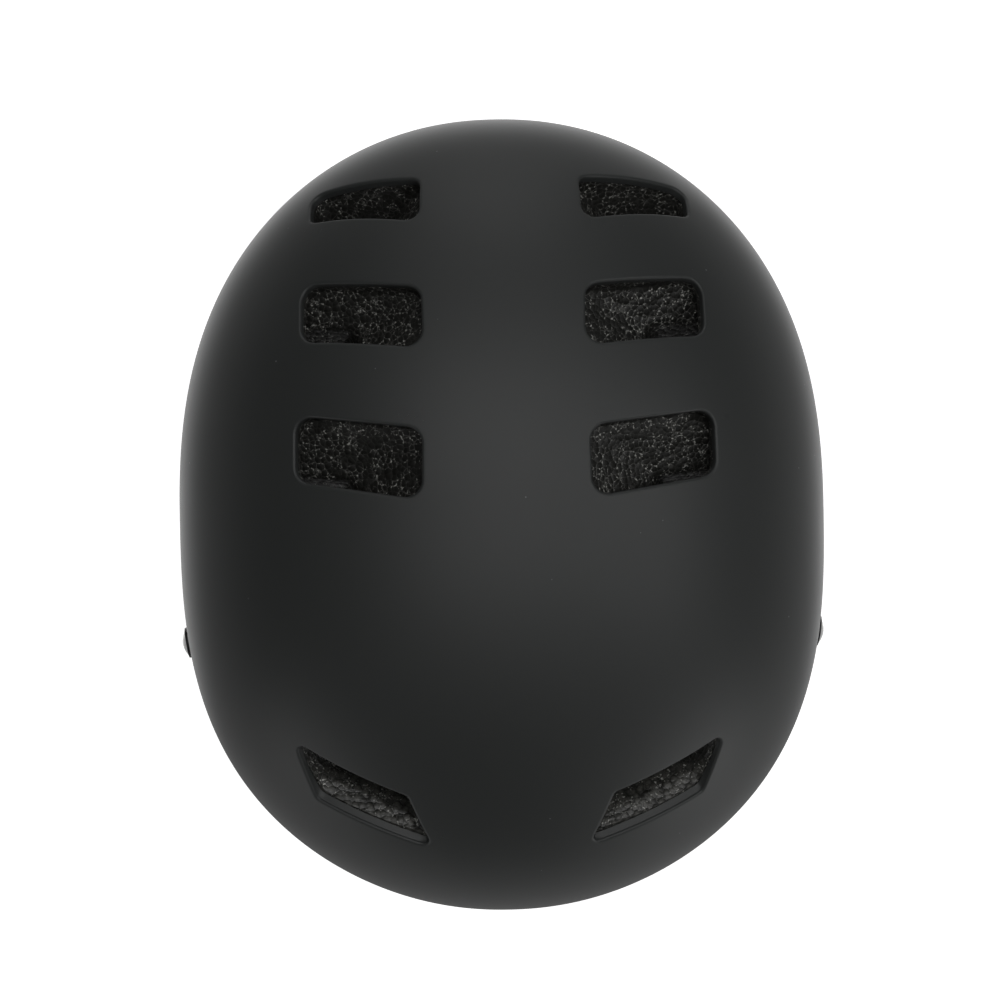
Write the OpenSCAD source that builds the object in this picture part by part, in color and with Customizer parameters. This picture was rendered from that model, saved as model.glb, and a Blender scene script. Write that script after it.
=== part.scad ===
// Skate-style bicycle helmet, worn size 55 to 59 cm, with its chin strap buckled.
// The origin is the top of the wearer's head. The face looks towards -Y, left is +X.

/* [Head] */
// Half the width of the head
head_half_w = 77; // [70:0.5:84]
// Brow in front of the origin
head_front = 98; // [90:0.5:106]
// Back of the head behind the origin
head_rear = 97.5; // [90:0.5:106]
// Widest level of the head below the origin
equator_drop = 48; // [42:1:54]

/* [Pads] */
// Side pad space between head and liner
side_pad_t = 6; // [4:0.5:9]
// Brow pad space between head and liner
brow_pad_t = 8; // [5:0.5:11]
// Back pad space between head and liner
rear_pad_t = 7; // [5:0.5:10]
// Crown pad space between head and liner
crown_pad_t = 8; // [5:0.5:11]
// Diameter of a hook-fastener dot
hook_d = 14; // [10:1:16]
// Thickness of a hook-fastener dot
hook_t = 0.9; // [0.6:0.1:1.2]

/* [Liner] */
// Foam thickness at the sides
liner_side_t = 25; // [20:0.5:30]
// Foam thickness at the brow
liner_front_t = 28; // [22:0.5:34]
// Foam thickness at the back
liner_rear_t = 28; // [22:0.5:34]
// Foam thickness at the crown
liner_crown_t = 28; // [22:0.5:34]
// How much thinner the foam gets at the rim
liner_rim_thinning = 11; // [6:0.5:14]

/* [Shell] */
// Wall of the hard shell
shell_wall = 2.7; // [2:0.1:3.5]
// Rim below the origin at the brow
brow_rim = 72; // [66:1:78]
// Rim below the origin over the ears
skirt_rim = 106; // [100:1:110]
// Rim below the origin at the nape
nape_rim = 117; // [112:1:120]

/* [Vents] */
// Crown vent across
crown_vent_l = 43.5; // [36:0.5:48]
// Crown vent front to back
crown_vent_w = 22; // [18:0.5:26]
// Middle vent across
mid_vent_l = 42; // [36:0.5:48]
// Middle vent front to back
mid_vent_w = 20.5; // [17:0.5:25]
// Rear vent across
rear_vent_l = 40.5; // [34:0.5:46]
// Rear vent front to back
rear_vent_w = 16; // [13:0.5:21]
// Front vent along its slant
front_vent_l = 41.5; // [35:0.5:48]
// Front vent across its slant
front_vent_w = 17.5; // [13:0.5:21]
// Corner radius of the crown and middle vents
vent_r = 5.5; // [2:0.5:6]
// Corner radius of the rear vents, twice that of the front ones
small_vent_r = 4; // [2:0.5:5]

/* [Rivets] */
// Diameter of the rivet heads
rivet_head_d = 9; // [7:0.5:11]
// Height of the rivet heads
rivet_head_h = 1.5; // [1.2:0.1:2.5]
// Diameter of the rivet barrels
rivet_d = 5; // [4:0.1:6]
// Diameter of the washer under each head
rivet_washer_d = 10.6; // [9:0.1:12]
// Thickness of the washer under each head
rivet_washer_t = 1; // [0.5:0.1:1.2]
// Diameter of the backing washers
backing_d = 13; // [10:0.5:14]

/* [Webbing] */
// Middle of the strap dividers below the origin
divider_drop = 160; // [154:1:166]
// Buckle below the middle of the dividers
buckle_drop = 55; // [50:1:60]
// Width of the webbing
webbing_w = 15; // [12:0.5:17]
// Thickness of the webbing
webbing_t = 1.4; // [1:0.1:1.8]

/* [Divider] */
// Thickness of the strap divider
divider_t = 8; // [7:0.5:10]
// Width of the lock lever
lever_w = 18; // [14:0.5:20]
// Length of the lock lever
lever_l = 17; // [14:0.5:19]

/* [Buckle] */
// Width of the buckle
buckle_w = 25; // [23:0.5:28]
// Thickness of the buckle
buckle_t = 9; // [8:0.5:11]
// Depth of the socket that the plug enters
socket_l = 27; // [25:0.5:30]
// Diameter of the bars that the webbing goes round
bar_d = 3.2; // [2.6:0.2:3.6]

/* [Fit dial] */
// Diameter of the dial
dial_d = 30; // [28:1:34]
// Height of the dial
dial_h = 9; // [8:0.5:12]
// Width of the dial housing
housing_w = 76; // [74:1:84]
// Height of the dial housing
housing_h = 26; // [25.5:0.5:30]
// Teeth on the pinion
pinion_teeth = 12; // [10:2:12]
// Thickness of the racks
rack_t = 4; // [3:0.5:5]
// Height of the fit band
band_h = 12; // [10:0.5:14]
// Thickness of the fit band
band_t = 1.6; // [1.2:0.1:2]

/* [Hidden] */

shell_colour = [0.13, 0.14, 0.14];
foam_colour = [0.05, 0.05, 0.055];
pad_colour = [0.09, 0.09, 0.1];
webbing_colour = [0.06, 0.06, 0.065];
moulding_colour = [0.08, 0.08, 0.085];
metal_colour = [0.75, 0.75, 0.76];

// Play that is left between pieces
glue_gap = 0.3;
fit_gap = 0.3;
bore_gap = 0.05;
past = 1;

// Half width, front length, rear length and top height of each layer
head_axes = [head_half_w, head_front, head_rear, 0];
cavity_axes = head_axes + [side_pad_t, brow_pad_t, rear_pad_t, crown_pad_t];
liner_t = [liner_side_t, liner_front_t, liner_rear_t, liner_crown_t];
liner_axes = cavity_axes + liner_t;
shell_in_axes = grow(liner_axes, glue_gap);
shell_axes = grow(shell_in_axes, shell_wall);

// Outline exponents at the ends and how much squarer the flanks are
front_tip_n = 2.14;
front_flank_n = 0.46;
rear_tip_n = 2.14;
rear_flank_n = 0.19;
side_n = 2.25;
tuck_depth = 60;
side_tuck = 0.03;
rear_tuck = 0.08;
temple_angles = [50, 72];
nape_angles = [105, 180];

ring_points = 60;
dome_rows = 14;
skirt_rows = 4;

function unit(v) = v / norm(v);
function grow(ax, by) = [for (v = ax) v + by];
function mix(a, b, t) = a + (b - a) * t;
function ease(x, a, b) = let (t = min(max((x - a) / (b - a), 0), 1)) t * t * (3 - 2 * t);
function from_front(a) = let (b = abs(a)) b > 180 ? 360 - b : b;
function bezier(p, t) = pow(1 - t, 3) * p[0] + 3 * t * pow(1 - t, 2) * p[1]
    + 3 * t * t * (1 - t) * p[2] + pow(t, 3) * p[3];

// Plan radius of a layer at an angle from the brow
function plan_n(a) = cos(a) > 0
    ? front_tip_n + front_flank_n * pow(sin(a), 2)
    : rear_tip_n + rear_flank_n * pow(sin(a), 2);
function plan_r(a, ax) = let (n = plan_n(a), len = cos(a) > 0 ? ax[1] : ax[2])
    pow(pow(abs(sin(a)) / ax[0], n) + pow(abs(cos(a)) / len, n), -1 / n);
function rim_z(a) = let (b = from_front(a))
    -(brow_rim + (skirt_rim - brow_rim) * ease(b, temple_angles[0], temple_angles[1])
    + (nape_rim - skirt_rim) * ease(b, nape_angles[0], nape_angles[1]));
function tuck(a) = let (b = from_front(a))
    side_tuck * ease(b, 50, 85) + (rear_tuck - side_tuck) * ease(b, 90, 180);

// Point of a layer at an angle and a height
function layer_point(a, z, ax) =
    let (up = (z + equator_drop) / (ax[3] + equator_drop),
        down = max(-equator_drop - z, 0),
        rho = up > 0
            ? pow(max(1 - pow(up, side_n), 0), 1 / side_n)
            : 1 - tuck(a) * pow(down / tuck_depth, 2),
        r = plan_r(a, ax) * rho)
    [r * sin(a), -r * cos(a), z];

// Height of a row: rows to 1 cover the dome, rows from 1 to 2 the skirt
function row_z(a, u, ax, rise) = u <= 1
    ? -equator_drop + (ax[3] + equator_drop) * pow(cos(90 * u), 2 / side_n)
    : mix(-equator_drop, rim_z(a) + rise, u - 1);
function rows() = concat([for (i = [1:dome_rows]) i / dome_rows],
    [for (i = [1:skirt_rows]) 1 + i / skirt_rows]);
function ring(u, ax, rise, thinning) =
    let (v = max(u - 1, 0), rim_ax = ax + thinning * v * v * [1, 1, 1, 0])
    [for (j = [0:ring_points - 1]) let (a = 360 * j / ring_points)
        layer_point(a, row_z(a, u, ax, rise), rim_ax)];
function ring_between(p, q, z_shift) = [for (j = [0:len(p) - 1])
    let (m = (p[j] + q[j]) / 2) [m[0], m[1], min(p[j][2], q[j][2]) + z_shift]];

// Surface height of a layer over a point of the plan
function dome_z(x, y, ax) = let (a = atan2(x, -y), rho = norm([x, y]) / plan_r(a, ax))
    -equator_drop + (ax[3] + equator_drop) * pow(max(1 - pow(rho, side_n), 0), 1 / side_n);

// Outward normal of a layer, from short steps round and down
step = 0.05;
function layer_normal(a, z, ax) = unit(cross(
    layer_point(a + step, z, ax) - layer_point(a - step, z, ax),
    layer_point(a, z + step, ax) - layer_point(a, z - step, ax)));
function dome_normal(x, y, ax) = unit([
    dome_z(x - step, y, ax) - dome_z(x + step, y, ax),
    dome_z(x, y - step, ax) - dome_z(x, y + step, ax), 2 * step]);

// Closed wall between rings that run from the outer pole to the inner pole
module ring_wall(top, rings, bottom) {
    k = ring_points;
    n = len(rings);
    function at(r, j) = 1 + r * k + (j % k);
    points = concat([top], [for (r = rings, p = r) p], [bottom]);
    faces = concat(
        [for (j = [0:k - 1]) [0, at(0, j + 1), at(0, j)]],
        [for (r = [0:n - 2], j = [0:k - 1]) [at(r, j), at(r, j + 1), at(r + 1, j + 1)]],
        [for (r = [0:n - 2], j = [0:k - 1]) [at(r, j), at(r + 1, j + 1), at(r + 1, j)]],
        [for (j = [0:k - 1]) [len(points) - 1, at(n - 1, j), at(n - 1, j + 1)]]);
    polyhedron(points, faces);
}

module dome_wall(out_ax, in_ax, out_rise, in_rise, edge_drop, thinning) {
    outer = [for (u = rows()) ring(u, out_ax, out_rise, 0)];
    inner = [for (u = rows()) ring(u, in_ax, in_rise, thinning)];
    last = len(outer) - 1;
    edge = ring_between(outer[last], inner[last], -edge_drop);
    ring_wall([0, 0, out_ax[3]],
        concat(outer, [edge], [for (i = [last:-1:0]) inner[i]]), [0, 0, in_ax[3]]);
}

// Closed slab between two grids of points that face each other
module slab(back, front) {
    n = len(back);
    m = len(back[0]);
    lie = cross(back[1][0] - back[0][0], back[0][1] - back[0][0]) * (front[1][1] - back[1][1]);
    function b(i, j) = i * m + j;
    function f(i, j) = n * m + i * m + j;
    function pair(p, q, r, s) = lie > 0 ? [[p, q, r], [p, r, s]] : [[r, q, p], [s, r, p]];
    faces = [
        for (i = [0:n - 2], j = [0:m - 2]) each pair(b(i, j), b(i + 1, j), b(i + 1, j + 1), b(i, j + 1)),
        for (i = [0:n - 2], j = [0:m - 2]) each pair(f(i, j), f(i, j + 1), f(i + 1, j + 1), f(i + 1, j)),
        for (i = [0:n - 2]) each pair(b(i, 0), f(i, 0), f(i + 1, 0), b(i + 1, 0)),
        for (i = [0:n - 2]) each pair(b(i, m - 1), b(i + 1, m - 1), f(i + 1, m - 1), f(i, m - 1)),
        for (j = [0:m - 2]) each pair(b(0, j), b(0, j + 1), f(0, j + 1), f(0, j)),
        for (j = [0:m - 2]) each pair(b(n - 1, j), f(n - 1, j), f(n - 1, j + 1), b(n - 1, j + 1))];
    polyhedron([for (r = back, p = r) p, for (r = front, p = r) p], faces);
}

// Frame with its Z along a normal and its X as near the world's X or round the layer
module frame_at(p, n, side = [1, 0, 0]) {
    e1 = unit(side - (side * n) * n);
    e2 = cross(n, e1);
    multmatrix([for (i = [0:2]) [e1[i], e2[i], n[i], p[i]]]) children();
}
module on_layer(a, z, ax) {
    n = layer_normal(a, z, ax);
    frame_at(layer_point(a, z, ax), n, cross([0, 0, 1], n)) children();
}
module on_both_sides() {
    children();
    mirror([1, 0, 0]) children();
}
module right_side() mirror([1, 0, 0]) children();

// Closed outline with round corners
function corner(p, before, after, r, k) =
    let (u = unit(before - p), v = unit(after - p), h = acos(u * v) / 2,
        c = p + r / sin(h) * unit(u + v),
        f = p + u * r / tan(h) - c, g = p + v * r / tan(h) - c,
        a = atan2(f[1], f[0]), turn = atan2(f[0] * g[1] - f[1] * g[0], f * g))
    [for (i = [0:k]) c + r * [cos(a + turn * i / k), sin(a + turn * i / k)]];
function rounded(pts, r, k = 5) = let (n = len(pts))
    [for (i = [0:n - 1]) each corner(pts[i], pts[(i + n - 1) % n], pts[(i + 1) % n], r, k)];

// Vents: place in plan, length, width, turn, skew of the long edges, end taper, how far
// the duct leans towards the ear and towards the back, and the corner radius
vents = [
    [[48.8, 19.4], crown_vent_l, crown_vent_w, 8.7, 3, 1.7, [26, -26], vent_r],
    [[47.2, 66.3], mid_vent_l, mid_vent_w, 9.6, 3.6, 0.3, [28, -12], vent_r],
    [[45.8, 105], rear_vent_l, rear_vent_w, 16.2, 4, 4, [14, 0], small_vent_r],
    [[49.7, -94.2], front_vent_l, front_vent_w, 16.4, 13.6, 0, [12, 0], small_vent_r / 2]];
vent_throat = [0.26, 0.5];
vent_mouth_gap = 0.6;
// Duct stations: depth, share of the lean, share of the narrowing
duct_steps = [[-shell_wall, 0, 0], [8, 0, 0], [17, 0.62, 0.55], [liner_crown_t + 16, 1, 1]];

function vent_outline(v, gap = 0) =
    let (l = v[1] / 2 + gap, w = v[2] / 2 + gap, s = v[4] / 2, e = v[5] / 2)
    [[-l - s, -w - e / 2], [l - s, -w + e / 2], [l + s, w - e / 2], [-l + s, w + e / 2]];
function lift(pts, z) = [for (p = pts) [p[0], p[1], z]];

module at_vent(v) frame_at([v[0][0], v[0][1], dome_z(v[0][0], v[0][1], shell_axes)],
    dome_normal(v[0][0], v[0][1], shell_axes)) rotate(v[3]) children();

module vent_hole(v) at_vent(v) translate([0, 0, -4 * shell_wall])
    linear_extrude(6 * shell_wall) polygon(rounded(vent_outline(v), v[7]));

// The foam pocket: a straight wall, a sloping floor and a narrow duct nearer the ear
module vent_pocket(v) {
    mouth = rounded(vent_outline(v, vent_mouth_gap), v[7], 4);
    rings = [for (d = duct_steps) [for (p = mouth) let (k = [1, 1] - d[2] * ([1, 1] - vent_throat))
        [p[0] * k[0] + d[1] * v[6][0], p[1] * k[1] + d[1] * v[6][1], -d[0]]]];
    n = len(mouth);
    last = n * (len(rings) - 1);
    at_vent(v) polyhedron([for (r = rings) each r], concat(
        [[for (i = [n - 1:-1:0]) i]], [[for (i = [0:n - 1]) last + i]],
        [for (k = [0:n:last - n]) for (i = [0:n - 1]) [k + i, k + (i + 1) % n, k + n + i]],
        [for (k = [0:n:last - n]) for (i = [0:n - 1])
            [k + (i + 1) % n, k + n + (i + 1) % n, k + n + i]]));
}

// Strap anchors: angle from the brow and height
temple_rivet = [68.4, -50];
rear_rivet = [118, -95];
rivets = [temple_rivet, rear_rivet];
rivet_hole_d = rivet_d + 0.2;
webbing_play = 0.5;
backing_t = 1;
tail_d = 7.5;
tail_t = 1.2;
backing_at = shell_wall + 2 * webbing_play + webbing_t;
pocket_depth = backing_at + backing_t + tail_t + 0.8;

module shell() color(shell_colour) difference() {
    dome_wall(shell_axes, shell_in_axes, 0.9, 0.9, 0.9, 0);
    on_both_sides() {
        for (v = vents) vent_hole(v);
        for (r = rivets) on_layer(r[0], r[1], shell_axes)
            translate([0, 0, -2 * shell_wall]) cylinder(h = 4 * shell_wall, d = rivet_hole_d, $fn = 32);
    }
}

module liner() color(foam_colour) difference() {
    dome_wall(liner_axes, cavity_axes, 3, 8, 1.5, liner_rim_thinning);
    on_both_sides() {
        for (v = vents) vent_pocket(v);
        for (s = strap_routes) strap_channel(s);
        for (r = rivets) on_layer(r[0], r[1], shell_axes)
            translate([0, 0, -pocket_depth]) cylinder(h = pocket_depth, d = backing_d + 3, $fn = 40);
        on_inner(anchor_at[0], anchor_at[1]) anchor_bore();
    }
    translate([0, hanger_y, hanger_pin_z]) rotate([-90, 0, 0]) anchor_bore();
}

// Pads: crowned cushions with drawn-in ends, sewn channels and a flat back
hook_seat = 0.85;
pad_gap = hook_seat + hook_t + fit_gap;
pad_cells = [20, 8];
pad_edge = 0.35;
function pad_span(p) = pow(max(1 - pow(abs(p), 5), 0), 0.25) * 0.86 + 0.14;
function pad_crown(p, q, channels) =
    let (groove = max([for (c = channels) exp(-pow((p - c) / 0.06, 2))]))
    (pad_edge + (1 - pad_edge) * sqrt(max(1 - pow(p, 6), 0)) * sqrt(max(1 - pow(q, 4), 0)))
    * (1 - 0.3 * groove);
function pad_steps(n) = [for (i = [0:n]) sin(90 * (2 * i / n - 1))];

// Pad on the inner wall: middle and half width in degrees, middle and half height
module wall_pad(a_mid, a_half, z_mid, z_half, space, channels) {
    t = space - pad_gap;
    grid = [for (p = pad_steps(pad_cells[0])) [for (q = pad_steps(pad_cells[1]))
        [p, q, a_mid + p * a_half, z_mid + q * z_half * pad_span(p)]]];
    function skin(g, deep) = let (ax = grow(cavity_axes, -pad_gap), n = layer_normal(g[2], g[3], ax))
        layer_point(g[2], g[3], ax) - n * deep;
    slab([for (r = grid) [for (g = r) skin(g, 0)]],
        [for (r = grid) [for (g = r) skin(g, t * pad_crown(g[0], g[1], channels))]]);
}
module brow_pad() color(pad_colour) wall_pad(0, 44, -44, 18, brow_pad_t, [-0.5, 0, 0.5]);
module left_side_pad() color(pad_colour) wall_pad(92, 20, -56, 20, side_pad_t, [0]);
module right_side_pad() right_side() left_side_pad();
module rear_pad() color(pad_colour) wall_pad(180, 27, -58, 16, rear_pad_t, [0]);

crown_pad_half = [17, 52];
module crown_pad() color(pad_colour) {
    t = crown_pad_t - pad_gap;
    ax = grow(cavity_axes, -pad_gap);
    grid = [for (p = pad_steps(pad_cells[0])) [for (q = pad_steps(pad_cells[1]))
        [p, q, q * crown_pad_half[0] * pad_span(p), p * crown_pad_half[1]]]];
    slab([for (r = grid) [for (g = r) [g[2], g[3], dome_z(g[2], g[3], ax)]]],
        [for (r = grid) [for (g = r) [g[2], g[3], dome_z(g[2], g[3], ax)
            - t * pad_crown(g[0], g[1], [-0.35, 0.35])]]]);
}

wall_dots = [[-28, -44], [28, -44], [0, -44], [80, -56], [104, -56], [-80, -56], [-104, -56],
    [165, -58], [195, -58]];
crown_dots = [[0, -30], [0, 0], [0, 30]];
module hook_dots() color(moulding_colour) {
    for (d = wall_dots) on_layer(d[0], d[1], cavity_axes) hook_dot();
    for (d = crown_dots) frame_at([d[0], d[1], dome_z(d[0], d[1], cavity_axes)],
        dome_normal(d[0], d[1], cavity_axes)) hook_dot();
}
module hook_dot() translate([0, 0, -hook_seat - hook_t]) cylinder(h = hook_t, d = hook_d, $fn = 40);

// Rivets: domed head, washer, barrel, backing washer and clinched tail
module at_rivets() on_both_sides() for (r = rivets) on_layer(r[0], r[1], shell_axes) children();
module strap_rivets() color(metal_colour) at_rivets() {
    dome_r = (pow(rivet_head_d / 2, 2) + pow(rivet_head_h, 2)) / (2 * rivet_head_h);
    seat = rivet_washer_t + bore_gap;
    translate([0, 0, seat]) intersection() {
        translate([0, 0, rivet_head_h - dome_r]) sphere(dome_r, $fn = 64);
        cylinder(h = rivet_head_h, d = rivet_head_d, $fn = 48);
    }
    translate([0, 0, -backing_at - backing_t - tail_t])
        cylinder(h = backing_at + backing_t + tail_t + seat, d = rivet_d, $fn = 32);
    translate([0, 0, -backing_at - backing_t - bore_gap - tail_t])
        cylinder(h = tail_t, d = tail_d, $fn = 32);
}
module rivet_washers() color(moulding_colour) at_rivets()
    washer(rivet_washer_d, rivet_washer_t, rivet_hole_d);
module backing_washers() color(metal_colour) at_rivets()
    translate([0, 0, -backing_at - backing_t]) washer(backing_d, backing_t, rivet_hole_d);
module washer(d, t, bore) difference() {
    cylinder(h = t, d = d, $fn = 48);
    translate([0, 0, -past]) cylinder(h = t + 2 * past, d = bore, $fn = 32);
}

// Webbing: the routes run behind the shell, leave at the rim and meet in the divider
strap_axes = grow(shell_in_axes, -webbing_play - webbing_t / 2);
divider_at = [82, -30, -divider_drop];
divider_lean = 20;
layer_gap = 0.3;
layer_offset = (webbing_t + layer_gap) / 2;
d_wide = [0, 1, 0];
d_up = [sin(divider_lean), 0, cos(divider_lean)];
d_out = [cos(divider_lean), 0, -sin(divider_lean)];
function in_divider(x, y, z) = divider_at + x * d_wide + y * d_up + z * d_out;

// Route: rivet, angle and height at the rim, entry angle, layer and end in the divider
front_route = [temple_rivet, [70.3, -skirt_rim], -10, 1, 1];
rear_route = [rear_rivet, [111, -skirt_rim], 52, -1, 5];
strap_routes = [front_route, rear_route];
strap_end = 7;
entry_reach = 20;

function along_skirt(s, t) = [mix(s[0][0], s[1][0], t), mix(s[0][1] + strap_end, s[1][1], t)];
function skirt_points(s, ts, ax) = [for (t = ts) let (q = along_skirt(s, t)) layer_point(q[0], q[1], ax)];
function skirt_normals(s, ts, ax) = [for (t = ts) let (q = along_skirt(s, t)) layer_normal(q[0], q[1], ax)];
function strap_path(s) =
    let (ts = [for (i = [0:5]) i / 5], p = skirt_points(s, ts, strap_axes),
        m = skirt_normals(s, ts, strap_axes), e = p[5], de = unit(p[5] - p[4]),
        z = s[3] * layer_offset, aim = [sin(s[2]), cos(s[2])],
        entry = in_divider(entry_reach * aim[0], entry_reach * aim[1], z),
        far = in_divider(1.4 * entry_reach * aim[0], 1.4 * entry_reach * aim[1], z),
        free = [for (i = [1:8]) bezier([e, e + 8 * de, far, entry], i / 8)],
        free_n = [for (i = [1:8]) unit(mix(m[5], d_out, i / 8))])
    [concat(p, free, [in_divider(s[4] * aim[0], s[4] * aim[1], z)]), concat(m, free_n, [d_out])];

module ribbon(points, normals, w, t) {
    n = len(points);
    side = [for (i = [0:n - 1]) let (along = points[min(i + 1, n - 1)] - points[max(i - 1, 0)])
        unit(cross(along, normals[i]))];
    slab([for (i = [0:n - 1]) [points[i] - side[i] * w / 2 - normals[i] * t / 2,
            points[i] + side[i] * w / 2 - normals[i] * t / 2]],
        [for (i = [0:n - 1]) [points[i] - side[i] * w / 2 + normals[i] * t / 2,
            points[i] + side[i] * w / 2 + normals[i] * t / 2]]);
}
module ear_webbing(s) color(webbing_colour) {
    path = strap_path(s);
    difference() {
        ribbon(path[0], path[1], webbing_w, webbing_t);
        on_layer(s[0][0], s[0][1], shell_axes) translate([0, 0, -4 * shell_wall])
            cylinder(h = 6 * shell_wall, d = rivet_d + 0.6, $fn = 32);
    }
}
module left_front_webbing() ear_webbing(front_route);
module left_rear_webbing() ear_webbing(rear_route);
module right_front_webbing() right_side() left_front_webbing();
module right_rear_webbing() right_side() left_rear_webbing();

channel_t = 2 * (webbing_t + 2 * webbing_play + 0.8);
module strap_channel(s) {
    ts = [for (i = [-1:6]) i / 5];
    ribbon(skirt_points(s, ts, liner_axes), skirt_normals(s, ts, liner_axes), webbing_w + 3, channel_t);
}

// Strap divider: two webbings come in from above and leave below
divider_outline = [[-13, -16], [11, -16], [25, 3], [15, 17], [-13, 17]];
divider_r = 4;
divider_slot_w = webbing_w + 1.6;
divider_slot_t = 2 * webbing_t + layer_gap + 0.8;
lever_axis = [9, divider_t / 2 + 2.3];
lever_t = 2.4;
lever_pin_d = 1.8;
lug_t = 2;
lug_d = 4.4;
lug_x = lever_w / 2 + fit_gap;

module on_divider() multmatrix([for (i = [0:2]) [d_wide[i], d_up[i], d_out[i], divider_at[i]]]) children();
module left_divider() color(moulding_colour) on_divider() difference() {
    union() {
        translate([0, 0, -divider_t / 2]) linear_extrude(divider_t)
            polygon(rounded(divider_outline, divider_r));
        for (s = [-1, 1]) translate([s * (lug_x + lug_t / 2), lever_axis[0], 0]) {
            translate([-lug_t / 2, 0, lever_axis[1]]) rotate([0, 90, 0])
                cylinder(h = lug_t, d = lug_d, $fn = 32);
            translate([-lug_t / 2, -lug_d / 2, divider_t / 2 - past])
                cube([lug_t, lug_d, lever_axis[1] - divider_t / 2 + past]);
        }
    }
    for (s = strap_routes) rotate(-s[2]) translate([-divider_slot_w / 2, 0, -divider_slot_t / 2])
        cube([divider_slot_w, 2 * entry_reach, divider_slot_t]);
    translate([-divider_slot_w / 2, -2 * entry_reach, -divider_slot_t / 2])
        cube([divider_slot_w, 2 * entry_reach + past, divider_slot_t]);
    translate([-lug_x - lug_t - past, lever_axis[0], lever_axis[1]]) rotate([0, 90, 0])
        cylinder(h = 2 * (lug_x + lug_t + past), d = lever_pin_d + 2 * bore_gap, $fn = 32);
}
module right_divider() right_side() left_divider();

module left_lock_lever() color(moulding_colour) on_divider() difference() {
    union() {
        translate([-lever_w / 2, lever_axis[0], lever_axis[1]]) rotate([0, 90, 0])
            cylinder(h = lever_w, d = lug_d - 0.4, $fn = 32);
        translate([0, lever_axis[0], divider_t / 2 + fit_gap]) linear_extrude(lever_t)
            polygon(rounded([[-lever_w / 2, -lever_l], [lever_w / 2, -lever_l],
                [lever_w / 2, 0], [-lever_w / 2, 0]], 1.5));
    }
    translate([-lever_w, lever_axis[0], lever_axis[1]]) rotate([0, 90, 0])
        cylinder(h = 2 * lever_w, d = lever_pin_d + 2 * bore_gap, $fn = 32);
}
module right_lock_lever() right_side() left_lock_lever();
module left_lever_pin() color(metal_colour) on_divider()
    translate([-lug_x - lug_t, lever_axis[0], lever_axis[1]]) rotate([0, 90, 0])
        cylinder(h = 2 * (lug_x + lug_t), d = lever_pin_d, $fn = 32);
module right_lever_pin() right_side() left_lever_pin();

// Buckle: its frame runs along the plug's travel, across the webbing, and away from the chin
buckle_at = [43, divider_at[1], divider_at[2] - buckle_drop];
buckle_dip = 38;
b_along = [-cos(buckle_dip), 0, -sin(buckle_dip)];
b_out = [sin(buckle_dip), 0, -cos(buckle_dip)];
bar_gap = 6;
socket_bar = -socket_l - bar_gap;
plug_bar = 17;
plug_body_l = 9;
rail_t = 3;
rail_h = 5;
socket_mouth = [buckle_w - 4.6, buckle_t - 3.4, socket_l - 5];
window = [9, 3.6];
arm_t = 2.2;
module on_buckle() multmatrix([for (i = [0:2]) [b_along[i], i == 1 ? 1 : 0, b_out[i], buckle_at[i]]]) children();
module block(x0, x1, w, t, r) translate([0, 0, -t / 2]) linear_extrude(t)
    polygon(rounded([[x0, -w / 2], [x1, -w / 2], [x1, w / 2], [x0, w / 2]], r));
module bar(x, w) translate([x, -w / 2, 0]) rotate([-90, 0, 0]) cylinder(h = w, d = bar_d, $fn = 32);
module rails(x0, x1) for (s = [-1, 1]) translate([x0, s * (buckle_w / 2 - rail_t / 2) - rail_t / 2, -rail_h / 2])
    cube([x1 - x0, rail_t, rail_h]);

module buckle_socket() color(moulding_colour) on_buckle() difference() {
    union() {
        block(-socket_l, 0, buckle_w, buckle_t, 2.5);
        rails(socket_bar - bar_d / 2, past - socket_l);
        bar(socket_bar, buckle_w - past);
    }
    translate([-socket_mouth[2], -socket_mouth[0] / 2, -socket_mouth[1] / 2])
        cube([socket_mouth[2] + past, socket_mouth[0], socket_mouth[1]]);
    translate([-14 - window[0] / 2, -buckle_w, -window[1] / 2])
        cube([window[0], 2 * buckle_w, window[1]]);
}
module buckle_plug() color(moulding_colour) on_buckle() {
    block(fit_gap, plug_body_l, buckle_w, buckle_t - 1, 2);
    translate([-socket_mouth[2] + past, -2.5, -1.6]) cube([socket_mouth[2] - past + 1, 5, 3.2]);
    rails(plug_body_l - past, plug_bar + bar_d / 2);
    bar(plug_bar, buckle_w - past);
}
// Each arm springs out of the plug and ends in the thumb pad that fills the window
arm_in = socket_mouth[0] / 2 - 3.4;
arm_h = 3;
pad_x = [-14 + window[0] / 2, -14 - window[0] / 2];
module buckle_arms() color(moulding_colour) on_buckle() for (s = [0, 1]) mirror([0, s, 0])
    translate([0, 0, -arm_h / 2]) linear_extrude(arm_h) polygon([[0, arm_in - 1.8],
        [0, arm_in - 1.8 + arm_t], [pad_x[0], arm_in + arm_t], [pad_x[0] - 1.6, buckle_w / 2 - 0.2],
        [pad_x[1] + 3.2, buckle_w / 2 - 0.6], [pad_x[1] + 0.6, buckle_w / 2 - 3.4],
        [pad_x[1] + 0.6, arm_in - 0.4], [pad_x[0], arm_in]]);

keeper_at = 33;
keeper_l = 6;
module strap_keeper() color(webbing_colour) on_buckle() translate([keeper_at - keeper_l / 2, 0, 0])
    rotate([90, 0, 90]) linear_extrude(keeper_l) difference() {
        square([webbing_w + 4.4, 2 * webbing_t + layer_gap + 4], center = true);
        square([webbing_w + 1, 2 * webbing_t + layer_gap + 0.8], center = true);
    }

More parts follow.
